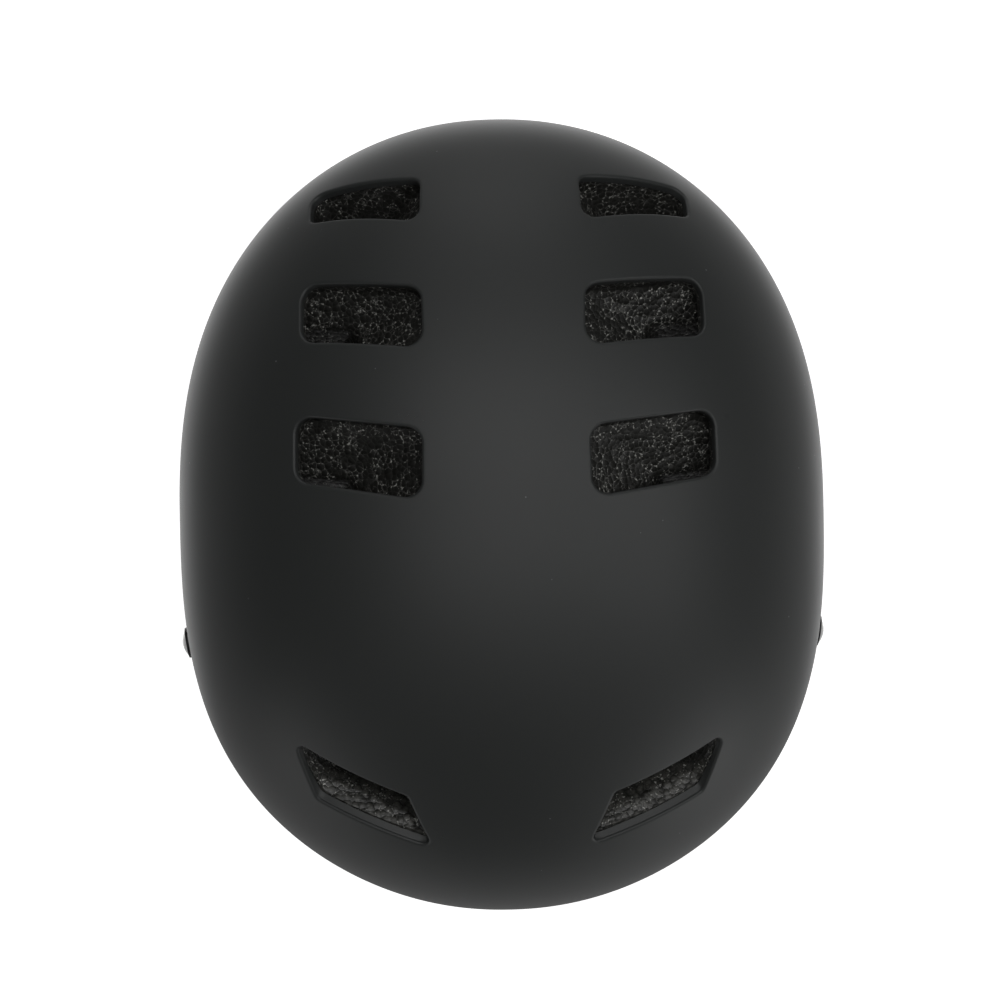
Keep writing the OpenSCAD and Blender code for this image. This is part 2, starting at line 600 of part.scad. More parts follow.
// Chin webbing: planar bands across the chin plane, as outlines in X and Z
function chin_point(p) = [p[0], p[2]];
function d_chin(y, z) = chin_point(in_divider(0, y, z));
function b_chin(x, z) = chin_point(buckle_at + x * b_along + z * b_out);
function turn_round(c, r, a0, a1, k = 8) = [for (i = [0:k]) let (a = mix(a0, a1, i / k))
    c + r * [cos(a), sin(a)]];
function band_side(p, t) = [for (i = [0:len(p) - 1])
    let (d = unit(p[min(i + 1, len(p) - 1)] - p[max(i - 1, 0)])) p[i] + t / 2 * [-d[1], d[0]]];
function reversed(p) = [for (i = [len(p) - 1:-1:0]) p[i]];
module band_outline(p, t) polygon(concat(band_side(p, t), reversed(band_side(p, -t))));
module chin_band(p) color(webbing_colour) translate([0, divider_at[1] + webbing_w / 2, 0])
    rotate([90, 0, 0]) linear_extrude(webbing_w) band_outline(p, webbing_t);

wrap_r = bar_d / 2 + 0.3 + webbing_t / 2;
chin_start = -3.3;
left_wrap = [-18, -198];
left_chin_path = concat([d_chin(chin_start, layer_offset), d_chin(-15, layer_offset)],
    turn_round(b_chin(socket_bar, 0), wrap_r, left_wrap[0], left_wrap[1]),
    [d_chin(-15, -layer_offset), d_chin(chin_start, -layer_offset)]);
module left_chin_webbing() chin_band(left_chin_path);

// The right webbing goes round the plug's bar and its tail lies back under the keeper
function mirrored(p) = [-p[0], p[1]];
right_main = concat(
    [for (x = [26, keeper_at, keeper_at + 6]) b_chin(x, -layer_offset)],
    [for (i = [1:14]) bezier([b_chin(keeper_at + 6, -layer_offset), b_chin(keeper_at + 24, -layer_offset),
        mirrored(d_chin(-62, 0)), mirrored(d_chin(-17, 0))], i / 14)],
    [mirrored(d_chin(chin_start, 0))]);
tail_rows = 5;
right_tail = concat([b_chin(26, layer_offset)],
    [for (i = [1:tail_rows]) band_side(right_main, 4 * layer_offset)[i]]);
right_wrap = [buckle_dip - 90, buckle_dip + 90];
right_chin_path = concat(reversed(right_tail),
    turn_round(b_chin(plug_bar, 0), wrap_r, right_wrap[0], right_wrap[1]), right_main);
module right_chin_webbing() chin_band(right_chin_path);

// Fit dial: its frame looks backwards, with Y down and Z away from the head
rim_to_dial = 4;
dial_z = -(nape_rim + rim_to_dial + dial_d / 2);
nape_pad_t = 4;
nape_tuck = 9.5;
dial_y = head_rear - nape_tuck + nape_pad_t;
floor_t = 1.6;
rack_play = 0.2;
cover_t = 1.8;
cover_z = floor_t + rack_t + 2 * rack_play;
knob_z = cover_z + cover_t + fit_gap;
gear_z = floor_t + rack_play;
tooth = 1;
flank = 25;
backlash = 0.2;
addendum = 1;
dedendum = 1.25;
pitch_r = tooth * pinion_teeth / 2;
rack_back = pitch_r + dedendum * tooth + 3;
side_play = 0.15;
wall_end = 4;
hub_d = 8;
peg = 5;
spigot_d = 4;
knob_screw_d = 2.5;
housing_screw_d = 2;
housing_screw_x = 22;
rib = [9, 30];
rack_x = [-16.2, housing_w / 2 + 8];
rack_wide_x = 20;
rack_wide_h = pitch_r - addendum;

module on_dial() translate([0, dial_y, dial_z]) rotate([-90, 0, 0]) children();
module stadium(w, h) {
    square([w - h, h], center = true);
    for (s = [-1, 1]) translate([s * (w - h) / 2, 0]) circle(d = h, $fn = 64);
}
module screw_holes(z, h) for (s = [-1, 1]) translate([s * housing_screw_x, 0, z])
    cylinder(h = h, d = housing_screw_d + 0.2, $fn = 32);

module dial_housing() color(moulding_colour) on_dial() difference() {
    linear_extrude(cover_z) stadium(housing_w, housing_h);
    translate([-housing_w / 2 + wall_end, -rack_back - side_play, floor_t]) difference() {
        cube([housing_w - 2 * wall_end, 2 * (rack_back + side_play), cover_z]);
        for (x = [rib[0], -rib[1]]) translate([x + housing_w / 2 - wall_end,
            rack_back + side_play - rack_wide_h + rack_play, -past])
            cube([rib[1] - rib[0], 2 * (rack_wide_h - rack_play), cover_z + 2 * past]);
    }
    for (s = [0, 180]) rotate(s) translate([housing_w / 2 - wall_end - past, -rack_back - side_play, floor_t])
        cube([wall_end + 2 * past, rack_back - rack_wide_h + 2 * side_play, cover_z]);
    translate([0, 0, -past]) cylinder(h = floor_t + 2 * past, d = spigot_d, $fn = 32);
    screw_holes(-past, cover_z + 2 * past);
    for (s = [-1, 1]) translate([s * housing_screw_x, 0, -past])
        cylinder(h = past + 1.2, d = 2 * housing_screw_d + 0.8, $fn = 32);
}
module dial_cover() color(moulding_colour) on_dial() {
    difference() {
        translate([0, 0, cover_z]) linear_extrude(cover_t) stadium(housing_w, housing_h);
        translate([0, 0, cover_z - past]) cylinder(h = cover_t + 2 * past, d = hub_d + 2 * bore_gap, $fn = 48);
        screw_holes(cover_z - past, past + 1.2);
    }
    for (s = [-1, 1]) translate([-spring_post[0], s * spring_post[1], cover_z + cover_t])
        cylinder(h = spring_h, d = 2, $fn = 32);
}

function involute(p) = tan(p) * 180 / PI - p;
pinion_base_r = pitch_r * cos(flank);
function flank_turn(r) = 90 / pinion_teeth - backlash / 4 / pitch_r * 180 / PI + involute(flank)
    - involute(acos(min(pinion_base_r / r, 1)));
flank_radii = [for (i = [0:3]) mix(pinion_base_r, pitch_r + addendum * tooth, i / 3)];
pinion_root_r = pitch_r - dedendum * tooth;
function tooth_side(a, s, radii) = [for (r = radii) r * [cos(a + s * flank_turn(r)), sin(a + s * flank_turn(r))]];
function pinion_tooth(a) = concat(
    [pinion_root_r * [cos(a - flank_turn(pinion_base_r)), sin(a - flank_turn(pinion_base_r))]],
    tooth_side(a, -1, flank_radii), tooth_side(a, 1, reversed(flank_radii)),
    [pinion_root_r * [cos(a + flank_turn(pinion_base_r)), sin(a + flank_turn(pinion_base_r))]]);

module dial_pinion() color(moulding_colour) on_dial() difference() {
    union() {
        translate([0, 0, gear_z]) linear_extrude(rack_t)
            polygon([for (k = [0:pinion_teeth - 1]) each pinion_tooth(360 * k / pinion_teeth)]);
        translate([0, 0, rack_play]) cylinder(h = gear_z, d = spigot_d - 2 * bore_gap, $fn = 32);
        translate([0, 0, gear_z + rack_t - past]) cylinder(h = knob_z + fit_gap - gear_z - rack_t + past, d = hub_d, $fn = 48);
        translate([-peg / 2, -peg / 2, knob_z]) cube([peg, peg, 5]);
    }
    translate([0, 0, knob_z - 1]) cylinder(h = 7, d = knob_screw_d + 0.1, $fn = 32);
}
ratchet_teeth = 24;
ratchet_r = dial_d / 2 - 3.7;
flutes = 20;
flute_d = 2.6;
module dial_knob() color(moulding_colour) on_dial() translate([0, 0, knob_z]) difference() {
    union() {
        difference() {
            linear_extrude(dial_h) difference() {
                circle(d = dial_d, $fn = 96);
                for (k = [0:flutes - 1]) rotate(360 * k / flutes) translate([dial_d / 2 + 0.4, 0])
                    circle(d = flute_d, $fn = 32);
            }
            translate([0, 0, -past]) linear_extrude(past + 4)
                polygon([for (k = [0:2 * ratchet_teeth - 1]) (ratchet_r + (k % 2 == 0 ? 0 : 0.8))
                    * [cos(180 * k / ratchet_teeth), sin(180 * k / ratchet_teeth)]]);
        }
        translate([0, 0, 2 * fit_gap]) cylinder(h = 4, d = 10, $fn = 48);
    }
    translate([-peg / 2 - bore_gap, -peg / 2 - bore_gap, 0])
        cube([peg + 2 * bore_gap, peg + 2 * bore_gap, 5.2]);
    cylinder(h = dial_h + past, d = knob_screw_d + 0.2, $fn = 32);
    translate([0, 0, dial_h - 2.4]) cylinder(h = 2.4 + past, d = 7, $fn = 40);
}
module knob_screw() color(metal_colour) on_dial() translate([0, 0, knob_z + dial_h - 2.4]) {
    difference() {
        cylinder(h = 1.8, d = 6, $fn = 40);
        for (a = [0, 90]) rotate(a) translate([-1.8, -0.35, 1]) cube([3.6, 0.7, 1.8]);
    }
    translate([0, 0, -7]) cylinder(h = 7 + past / 2, d = knob_screw_d, $fn = 32);
}
spring_h = 2.6;
spring_post = [ratchet_r - 3.9, 6.4];
spring_r = ratchet_r - 0.6;
module click_spring() color(metal_colour) on_dial() translate([0, 0, cover_z + cover_t + 0.2])
    linear_extrude(spring_h - 0.4) band_outline([for (p = [[1.8, -6], [1.6, -4], [0.7, -1.6], [0, 0],
        [0.7, 1.6], [1.6, 4], [1.8, 6]]) p - [spring_r, 0]], 0.5);
module housing_screws() color(metal_colour) on_dial() for (s = [-1, 1])
    translate([s * housing_screw_x, 0, 0]) {
        cylinder(h = cover_z + 1, d = housing_screw_d, $fn = 32);
        difference() {
            cylinder(h = 1.1, d = 2 * housing_screw_d, $fn = 32);
            for (a = [0, 90]) rotate(a) translate([-1.2, -0.25, -past]) cube([2.4, 0.5, past + 0.5]);
        }
    }

// Racks: teeth towards the pinion, a wide end outside the housing
function rack_tooth(x) = let (w = PI * tooth / 4 - backlash / 4, lean = tan(flank))
    [[x - w - lean * dedendum, pitch_r + dedendum], [x - w + lean * addendum, pitch_r - addendum],
    [x + w - lean * addendum, pitch_r - addendum], [x + w + lean * dedendum, pitch_r + dedendum]];
rack_outline = concat([[rack_x[0], rack_back], [rack_x[0], pitch_r + dedendum]],
    [for (k = [-5:4]) each rack_tooth((k + 0.5) * PI * tooth)],
    [[rack_wide_x, pitch_r + dedendum], [rack_wide_x, rack_wide_h], [rack_x[1], rack_wide_h],
    [rack_x[1], rack_back]]);
module rack() translate([0, 0, gear_z]) linear_extrude(rack_t) polygon(rack_outline);
module left_rack() color(moulding_colour) on_dial() mirror([0, 1, 0]) rack();
module right_rack() color(moulding_colour) on_dial() mirror([1, 0, 0]) rack();

// Fit bands: from the rack ends round to the temple anchors
anchor_at = [74, -86];
anchor_d = 13;
anchor_t = 2;
anchor_stem = [4, 9];
hanger_pin_z = -90;
function inner_point(a, z) = layer_point(a, z, inner_axes(a, z));
function inner_normal(a, z) = unit(cross(inner_point(a + step, z) - inner_point(a - step, z),
    inner_point(a, z + step) - inner_point(a, z - step)));
module on_inner(a, z) {
    n = inner_normal(a, z);
    frame_at(inner_point(a, z), n, cross([0, 0, 1], n)) children();
}
function inner_axes(a, z) = let (v = min(max((-equator_drop - z) / (-equator_drop - rim_z(a) - 8), 0), 1))
    cavity_axes + liner_rim_thinning * v * v * [1, 1, 1, 0];
band_inset = 0.4 + anchor_t + fit_gap + band_t / 2;
module anchor_bore() translate([0, 0, -past]) cylinder(h = anchor_stem[1] + 2 * past, d = anchor_stem[0] + 0.2, $fn = 32);
module temple_anchors() color(moulding_colour) on_both_sides()
    on_inner(anchor_at[0], anchor_at[1]) {
        translate([0, 0, -0.4 - anchor_t]) cylinder(h = anchor_t, d = anchor_d, $fn = 40);
        translate([0, 0, -0.5]) cylinder(h = anchor_stem[1], d = anchor_stem[0], $fn = 32);
    }
band_from = 106;
band_low = -112;
module fit_band(rack_side) color(moulding_colour) {
    z0 = dial_z + rack_side * (rack_back + rack_wide_h) / 2;
    y0 = dial_y + gear_z + rack_t / 2;
    start = [rack_x[1] + 2 * fit_gap, y0, z0];
    as = [for (i = [0:7]) mix(band_from, anchor_at[0] - 3, i / 7)];
    zs = [for (i = [0:7]) mix(band_low, anchor_at[1], ease(i / 7, 0, 1))];
    wall_n = [for (i = [0:7]) inner_normal(as[i], zs[i])];
    wall = [for (i = [0:7]) inner_point(as[i], zs[i]) - band_inset * wall_n[i]];
    bend = [for (i = [0:6]) bezier([start, start + [16, 0, 0], wall[0] + 22 * unit(wall[0] - wall[1]), wall[0]], i / 7)];
    bend_n = [for (i = [0:6]) unit(mix([0, 1, 0], [wall_n[0][0], wall_n[0][1], 0], i / 7))];
    ribbon(concat(bend, wall), concat(bend_n, wall_n), band_h, band_t);
}
module left_fit_band() fit_band(1);
module right_fit_band() right_side() fit_band(-1);

hanger_w = 16;
hanger_y = inner_point(180, hanger_pin_z)[1] - 0.6 - band_t / 2;
module cradle_hanger() color(moulding_colour) difference() {
    translate([-hanger_w / 2, 0, 0]) rotate([90, 0, 90]) linear_extrude(hanger_w)
        band_outline([[hanger_y - 1, hanger_pin_z + 10], [hanger_y, hanger_pin_z],
            [hanger_y - 0.5, hanger_pin_z - 10], [hanger_y - 4, hanger_pin_z - 20],
            [dial_y + 3.4, dial_z + housing_h / 2 + 5], [dial_y + 3, dial_z + housing_h / 2 + fit_gap]], band_t);
    translate([0, 0, hanger_pin_z]) rotate([-90, 0, 0]) cylinder(h = 2 * hanger_y, d = anchor_stem[0] + 0.6, $fn = 32);
}
module hanger_pins() color(moulding_colour) translate([0, hanger_y, hanger_pin_z]) rotate([-90, 0, 0]) {
    translate([0, 0, -band_t / 2 - 2]) cylinder(h = 1.6, d = 9, $fn = 40);
    translate([0, 0, -band_t / 2 - 1]) cylinder(h = anchor_stem[1] + band_t, d = anchor_stem[0], $fn = 32);
}

nape_half = [28, 9];
module nape_pad() color(pad_colour) on_dial() {
    grid = [for (p = pad_steps(16)) [for (q = pad_steps(6))
        [p, q, p * nape_half[0], q * nape_half[1] * pad_span(p)]]];
    slab([for (r = grid) [for (g = r) [g[2], g[3], -fit_gap]]],
        [for (r = grid) [for (g = r) [g[2], g[3], -fit_gap
            - (nape_pad_t - fit_gap) * pad_crown(g[0], g[1], [0])]]]);
}

shell();
liner();
brow_pad();
crown_pad();
left_side_pad();
right_side_pad();
rear_pad();
hook_dots();
strap_rivets();
rivet_washers();
backing_washers();
left_front_webbing();
left_rear_webbing();
right_front_webbing();
right_rear_webbing();
left_chin_webbing();
right_chin_webbing();
left_divider();
right_divider();
left_lock_lever();
right_lock_lever();
left_lever_pin();
right_lever_pin();
buckle_socket();
buckle_plug();
buckle_arms();
strap_keeper();
dial_housing();
dial_cover();
dial_knob();
dial_pinion();
knob_screw();
click_spring();
housing_screws();
left_rack();
right_rack();
left_fit_band();
right_fit_band();
temple_anchors();
cradle_hanger();
hanger_pins();
nape_pad();
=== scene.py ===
import math

import bmesh
import bpy
import numpy as np
from mathutils import Matrix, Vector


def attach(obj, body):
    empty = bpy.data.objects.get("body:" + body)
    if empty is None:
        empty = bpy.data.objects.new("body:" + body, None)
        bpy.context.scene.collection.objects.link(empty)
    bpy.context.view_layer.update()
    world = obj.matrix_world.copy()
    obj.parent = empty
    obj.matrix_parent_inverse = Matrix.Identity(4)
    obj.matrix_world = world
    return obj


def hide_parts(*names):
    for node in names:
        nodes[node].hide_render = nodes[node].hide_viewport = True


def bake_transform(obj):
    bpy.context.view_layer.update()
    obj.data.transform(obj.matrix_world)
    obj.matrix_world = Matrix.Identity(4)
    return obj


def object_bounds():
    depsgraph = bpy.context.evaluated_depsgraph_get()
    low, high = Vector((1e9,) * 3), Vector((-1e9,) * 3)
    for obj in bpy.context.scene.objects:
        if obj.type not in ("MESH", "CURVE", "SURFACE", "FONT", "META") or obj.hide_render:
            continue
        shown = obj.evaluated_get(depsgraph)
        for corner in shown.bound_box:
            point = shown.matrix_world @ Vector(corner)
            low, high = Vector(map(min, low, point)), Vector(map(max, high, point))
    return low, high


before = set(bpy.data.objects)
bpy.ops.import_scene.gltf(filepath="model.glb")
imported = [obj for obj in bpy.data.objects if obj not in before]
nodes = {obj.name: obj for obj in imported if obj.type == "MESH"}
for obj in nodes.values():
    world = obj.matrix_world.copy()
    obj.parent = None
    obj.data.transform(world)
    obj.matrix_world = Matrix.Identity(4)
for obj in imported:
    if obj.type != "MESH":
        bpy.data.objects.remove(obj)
cadBox = [list(corner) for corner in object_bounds()]
mm = 0.001
print("frame loaded")


# Shader sockets that take part in sums

def operator(kind, swapped=False):
    return lambda self, other: self.maths(kind, *((other, self) if swapped else (self, other)))


class Wire:
    def __init__(self, owner, socket):
        self.owner, self.socket = owner, socket

    def maths(self, kind, *values):  # of the wire itself where no values are given
        return self.owner.node("ShaderNodeMath", {"operation": kind}, values or (self,))

    __add__ = __radd__ = operator("ADD")
    __mul__ = __rmul__ = operator("MULTIPLY")
    __sub__, __rsub__ = operator("SUBTRACT"), operator("SUBTRACT", True)
    __truediv__, __pow__ = operator("DIVIDE"), operator("POWER")

    def between(self, low, high):
        # rises smoothly from 0 at low to 1 at high, which may be the smaller of the two
        return self.owner.node("ShaderNodeMapRange", {"interpolation_type": "SMOOTHSTEP"},
                               {"Value": self, "From Min": low, "From Max": high})


class Nodes:
    # a shader tree; node() adds one with its settings, and values or wires on its inputs
    def __init__(self, tree):
        self.tree = tree

    def fill(self, inputs, values):
        for key, value in values.items() if isinstance(values, dict) else enumerate(values):
            if isinstance(value, Wire):
                self.tree.links.new(value.socket, inputs[key])
            else:
                inputs[key].default_value = value

    def node(self, kind, settings=None, values=(), output=0):
        made = self.tree.nodes.new(kind)
        for key, value in (settings or {}).items():
            setattr(made, key, value)
        self.fill(made.inputs, values)
        return Wire(self, made.outputs[output])

    def ray(self, kind):
        return self.node("ShaderNodeLightPath", output="Is " + kind + " Ray")


class Finish(Nodes):
    # a material with one main shader
    def __init__(self, name, colour, roughness, **shader):
        self.material = bpy.data.materials.new(name)
        self.material.use_nodes = True
        super().__init__(self.material.node_tree)
        self.main = self.tree.nodes["Principled BSDF"]
        self.set(Base_Color=(*colour, 1), Roughness=roughness, **shader)

    def set(self, **values):  # sockets with _ for a space
        self.fill(self.main.inputs, {key.replace("_", " "): values[key] for key in values})
        return self

    def place(self, scale=(1, 1, 1), coordinates="Object", turn=(0, 0, 0)):
        where = self.node("ShaderNodeTexCoord", output=coordinates)
        return self.node("ShaderNodeMapping", None,
                         {"Vector": where, "Scale": scale, "Rotation": turn})

    def noise(self, size, detail=2.0, rough=0.5, where=None):  # size in millimetres
        return self.node("ShaderNodeTexNoise", None, {"Vector": where or self.place(),
                         "Scale": 1000 / size, "Detail": detail, "Roughness": rough})

    def cells(self, size, feature="F1", where=None):
        return self.node("ShaderNodeTexVoronoi", {"feature": feature},
                         {"Vector": where or self.place(), "Scale": 1000 / size})

    def axis(self, where, k):  # one coordinate of a place
        return self.node("ShaderNodeSeparateXYZ", None, [where], k)

    def mix(self, share, *colours):
        first, second = ((*c, 1) if isinstance(c, tuple) else c for c in colours)
        return self.node("ShaderNodeMix", {"data_type": "RGBA"},
                         {0: share, 6: first, 7: second}, 2)

    def bump(self, height, depth, before=None):  # depth in millimetres
        return self.node("ShaderNodeBump", None,
                         {"Height": height, "Distance": depth * mm, "Strength": 1.0,
                          **({"Normal": before} if before else {})})


# Meshes from arrays

def arrayMesh(points, faces):
    mesh = bpy.data.meshes.new("grid")
    used = np.unique(np.concatenate([f.ravel() for f in faces]))
    order = np.zeros(len(points), int)
    order[used] = np.arange(len(used))
    corners = np.concatenate([order[f].ravel() for f in faces])
    sizes = np.concatenate([np.full(len(f), f.shape[1]) for f in faces])
    mesh.vertices.add(len(used))
    mesh.vertices.foreach_set("co", (points[used] * mm).astype(np.float32).ravel())
    mesh.loops.add(len(corners))
    mesh.loops.foreach_set("vertex_index", corners.astype(np.int32))
    mesh.polygons.add(len(sizes))
    mesh.polygons.foreach_set("loop_start", (np.cumsum(sizes) - sizes).astype(np.int32))
    mesh.update(calc_edges=True)
    mesh.validate()
    return mesh


def gridFaces(rows, columns, wrapRows=False, wrapColumns=False, start=0):
    # four corners of every cell of a grid of points, row by row
    i = np.arange(rows if wrapRows else rows - 1)[:, None]
    j = np.arange(columns if wrapColumns else columns - 1)[None, :]
    k, m = (i + 1) % rows, (j + 1) % columns
    cells = [i * columns + j, k * columns + j, k * columns + m, i * columns + m]
    return start + np.stack([c + 0 * (i + j) for c in cells], -1).reshape(-1, 4)


def addObject(name, data):
    made = bpy.data.objects.new(name, data)
    bpy.context.scene.collection.objects.link(made)
    return made


def addPiece(node, mesh, finish, slotName=None, body="root", creaseAngle=35, name=None):
    # stands for a node of the frame and, where no name is given, takes it in camel case
    words = (node or "").split("_")
    piece = addObject(name or words[0] + "".join(w.capitalize() for w in words[1:]), mesh)
    mesh.name = piece.name
    mesh.shade_smooth()
    mesh.set_sharp_from_angle(angle=math.radians(creaseAngle))
    mesh.materials.clear()
    mesh.materials.append(finish.material)
    if node:
        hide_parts(node)
    if body:
        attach(piece, body)
    return piece


# Dome layers: half width, front and rear length and top height of each
layers = {}
layers["head"] = np.array([77, 98, 97.5, 0.0])
layers["cavity"] = layers["head"] + [6, 8, 7, 8]
layers["foam"] = layers["cavity"] + [25, 28, 28, 28]
layers["under"] = layers["foam"] + 0.3
layers["shell"] = layers["under"] + 2.7
# drops of the rim and tucks of the skirt: how much, and the angles from the brow they grow over
dome = {"equator": -48.0, "power": 2.25, "tip": 2.14, "frontFlank": 0.46, "rearFlank": 0.19,
        "brow": 72, "drops": ((34, 50, 72), (11, 105, 180)),
        "tucks": ((0.03, 50, 85), (0.05, 90, 180)), "tuckDepth": 60}


def ease(x, low, high):
    t = np.clip((x - low) / (high - low), 0, 1)
    return t * t * (3 - 2 * t)


def mirrored(side):
    return np.array([side, 1, 1])


def unit(v):
    return v / np.linalg.norm(v, axis=-1, keepdims=True)


def fromBrow(a):
    return np.degrees(abs((a + np.pi) % (2 * np.pi) - np.pi))


def grown(a, shares, start=0):
    # start and every share, each let in over its own angles from the brow
    b = fromBrow(a)
    return sum((share * ease(b, low, high) for share, low, high in shares), start)


def rimHeight(a):
    return -grown(a, dome["drops"], dome["brow"])


def planRadius(a, axes, wider=0.0):
    # a superellipse whose power rises from the tips to the flanks
    s, c = abs(np.sin(a)), np.cos(a)
    n = dome["tip"] + np.where(c > 0, dome["frontFlank"], dome["rearFlank"]) * s ** 2
    length = np.where(c > 0, axes[1], axes[2]) + wider
    return ((s / (axes[0] + wider)) ** n + (abs(c) / length) ** n) ** (-1 / n)


def layerPoint(a, z, axes, wider=0.0):
    # above the equator the radius falls as a superellipse, below it tucks in as a square
    k, e = dome["power"], dome["equator"]
    up = np.clip((z - e) / (axes[3] - e), 0, 1)
    tuck = grown(a, dome["tucks"]) * (np.maximum(e - z, 0) / dome["tuckDepth"]) ** 2
    r = planRadius(a, axes, wider) * (1 - up ** k) ** (1 / k) * (1 - tuck)
    return np.stack([r * np.sin(a), -r * np.cos(a), z + 0 * r], -1)


def skinPoint(a, u, axes, rise=0.0, thinning=0.0):
    # u runs from 0 at the top over 1 at the equator to 2 at the rim
    e = dome["equator"]
    top = e + (axes[3] - e) * np.cos(np.pi / 2 * np.minimum(u, 1)) ** (2 / dome["power"])
    skirt = np.maximum(u - 1, 0)
    z = np.where(u <= 1, top, e + (rimHeight(a) + rise - e) * skirt)
    return layerPoint(a, z, axes, thinning * skirt ** 2)


def domeHeight(x, y, axes):
    k, e = dome["power"], dome["equator"]
    rho = np.hypot(x, y) / planRadius(np.arctan2(x, -y), axes)
    return e + (axes[3] - e) * np.maximum(1 - rho ** k, 0) ** (1 / k)


def toSkin(p, axes):
    # the angle and u of points on a layer above the equator
    a = np.arctan2(p[..., 0], -p[..., 1]) % (2 * np.pi)
    rho = np.hypot(p[..., 0], p[..., 1]) / planRadius(a, axes)
    return a, np.arcsin(np.clip(rho, 0, 1) ** (dome["power"] / 2)) * 2 / np.pi


# Vents: place in plan, size, turn, skew of the long edges, taper, lean of the duct, corner;
# ledge and draft raise the lower half of the duct and of the shell's wall
vents = [
    {"at": (48.8, 19.4), "size": (43.5, 22), "turn": 8.7, "skew": 3, "taper": 1.7,
     "lean": (26, -26), "corner": 5.5},
    {"at": (47.2, 66.3), "size": (42, 20.5), "turn": 9.6, "skew": 3.6, "taper": 0.3,
     "lean": (28, -12), "corner": 5.5},
    {"at": (45.8, 105), "size": (40.5, 16), "turn": 16.2, "skew": 4, "taper": 4,
     "lean": (14, 0), "corner": 4},
    {"at": (49.7, -94.2), "size": (41.5, 17.5), "turn": 16.4, "skew": 13.6, "taper": 0,
     "lean": (12, 0), "corner": 2, "ledge": 5, "draft": 1.6}]
ventShape = {"arcSteps": 24, "mouthGap": 0.15, "edgeRadius": 1.1, "edgeRings": 6, "wallRings": 3,
             "patchRings": 6, "reach": 5, "depth": 25, "easing": 1.3}
# Ducts: at these depths, how much of the lean and of the narrowing is reached
duct = {"depth": (8, 17, 44), "lean": (0, 0.62, 1), "narrow": (0, 0.55, 1), "throat": (0.26, 0.5)}


def ventFrame(vent, side):
    # origin on the shell, two directions along it and its normal; side mirrors it
    x, y = vent["at"]
    axes, h = layers["shell"], 0.05
    n = unit(np.array([domeHeight(x - h, y, axes) - domeHeight(x + h, y, axes),
                       domeHeight(x, y - h, axes) - domeHeight(x, y + h, axes), 2 * h]))
    e1 = unit(np.array([1, 0, 0]) - n[0] * n)
    e2 = np.cross(n, e1)
    t = math.radians(vent["turn"])
    flip = mirrored(side)
    return (flip * [x, y, domeHeight(x, y, axes)], flip * (e1 * math.cos(t) + e2 * math.sin(t)),
            flip * (e2 * math.cos(t) - e1 * math.sin(t)), flip * n)


def ventOutline(vent, gap):
    # a closed fine line: straight edges with arcs at the four corners, moved out by gap
    (length, width), s, e = vent["size"], vent["skew"] / 2, vent["taper"] / 4
    l, w, r = length / 2, width / 2, vent["corner"]
    pts = np.array([[-l - s, -w - e], [l - s, -w + e], [l + s, w - e], [-l + s, w + e]], float)
    u = unit(np.roll(pts, 1, 0) - pts)
    v = unit(np.roll(pts, -1, 0) - pts)
    half = np.arccos((u * v).sum(1)) / 2
    centre = pts + (r / np.sin(half))[:, None] * unit(u + v)
    first = np.stack([-u[:, 1], u[:, 0]], -1)
    last = np.stack([v[:, 1], -v[:, 0]], -1)
    a = np.arctan2(first[:, 1], first[:, 0])
    sweep = (np.arctan2(last[:, 1], last[:, 0]) - a + np.pi) % (2 * np.pi) - np.pi
    t = a[:, None] + sweep[:, None] * np.linspace(0, 1, ventShape["arcSteps"])
    arcs = centre[:, None] + (r + gap) * np.stack([np.cos(t), np.sin(t)], -1)
    line = arcs.reshape(-1, 2)
    return np.concatenate([line, line[:1]])


def outlineAt(vent, gap, phi):
    # where rays at the angles phi from the vent's centre meet its outline
    line = ventOutline(vent, gap)
    p, d = line[:-1], np.diff(line, axis=0)
    ray = np.stack([np.cos(phi), np.sin(phi)], -1)[:, None]
    cross = ray[..., 0] * d[:, 1] - ray[..., 1] * d[:, 0]
    cross = np.where(abs(cross) < 1e-9, 1e-9, cross)
    reach = (p[:, 0] * d[:, 1] - p[:, 1] * d[:, 0]) / cross
    along = (p[:, 0] * ray[..., 1] - p[:, 1] * ray[..., 0]) / cross
    hit = (along > -1e-6) & (along < 1 + 1e-6) & (reach > 0)
    return ray[:, 0] * np.where(hit, reach, np.inf).min(1)[:, None]


def lineMeets(start, way, axes):
    # Newton steps along lines until they meet a layer, none longer than 6
    t, h = np.zeros(len(start)), 0.01
    for step in range(25):
        p, q = (start + s[:, None] * way for s in (t, t + h))
        f = p[:, 2] - domeHeight(p[:, 0], p[:, 1], axes)
        g = q[:, 2] - domeHeight(q[:, 0], q[:, 1], axes)
        t = t - np.clip(f * h / (g - f), -6, 6)
    return start + t[:, None] * way


def raised(vent, flat, rise):
    # what moves the lower half of an outline up: nothing at the middle, all at the edge
    return np.array([0, 1]) * np.clip(-2 * flat[:, 1:] / vent["size"][1], 0, 1) * rise


oneTurn = np.linspace(-np.pi, np.pi, 200)


def eachVent():
    for vent in vents:
        for side in (1, -1):
            yield vent, side, ventFrame(vent, side)


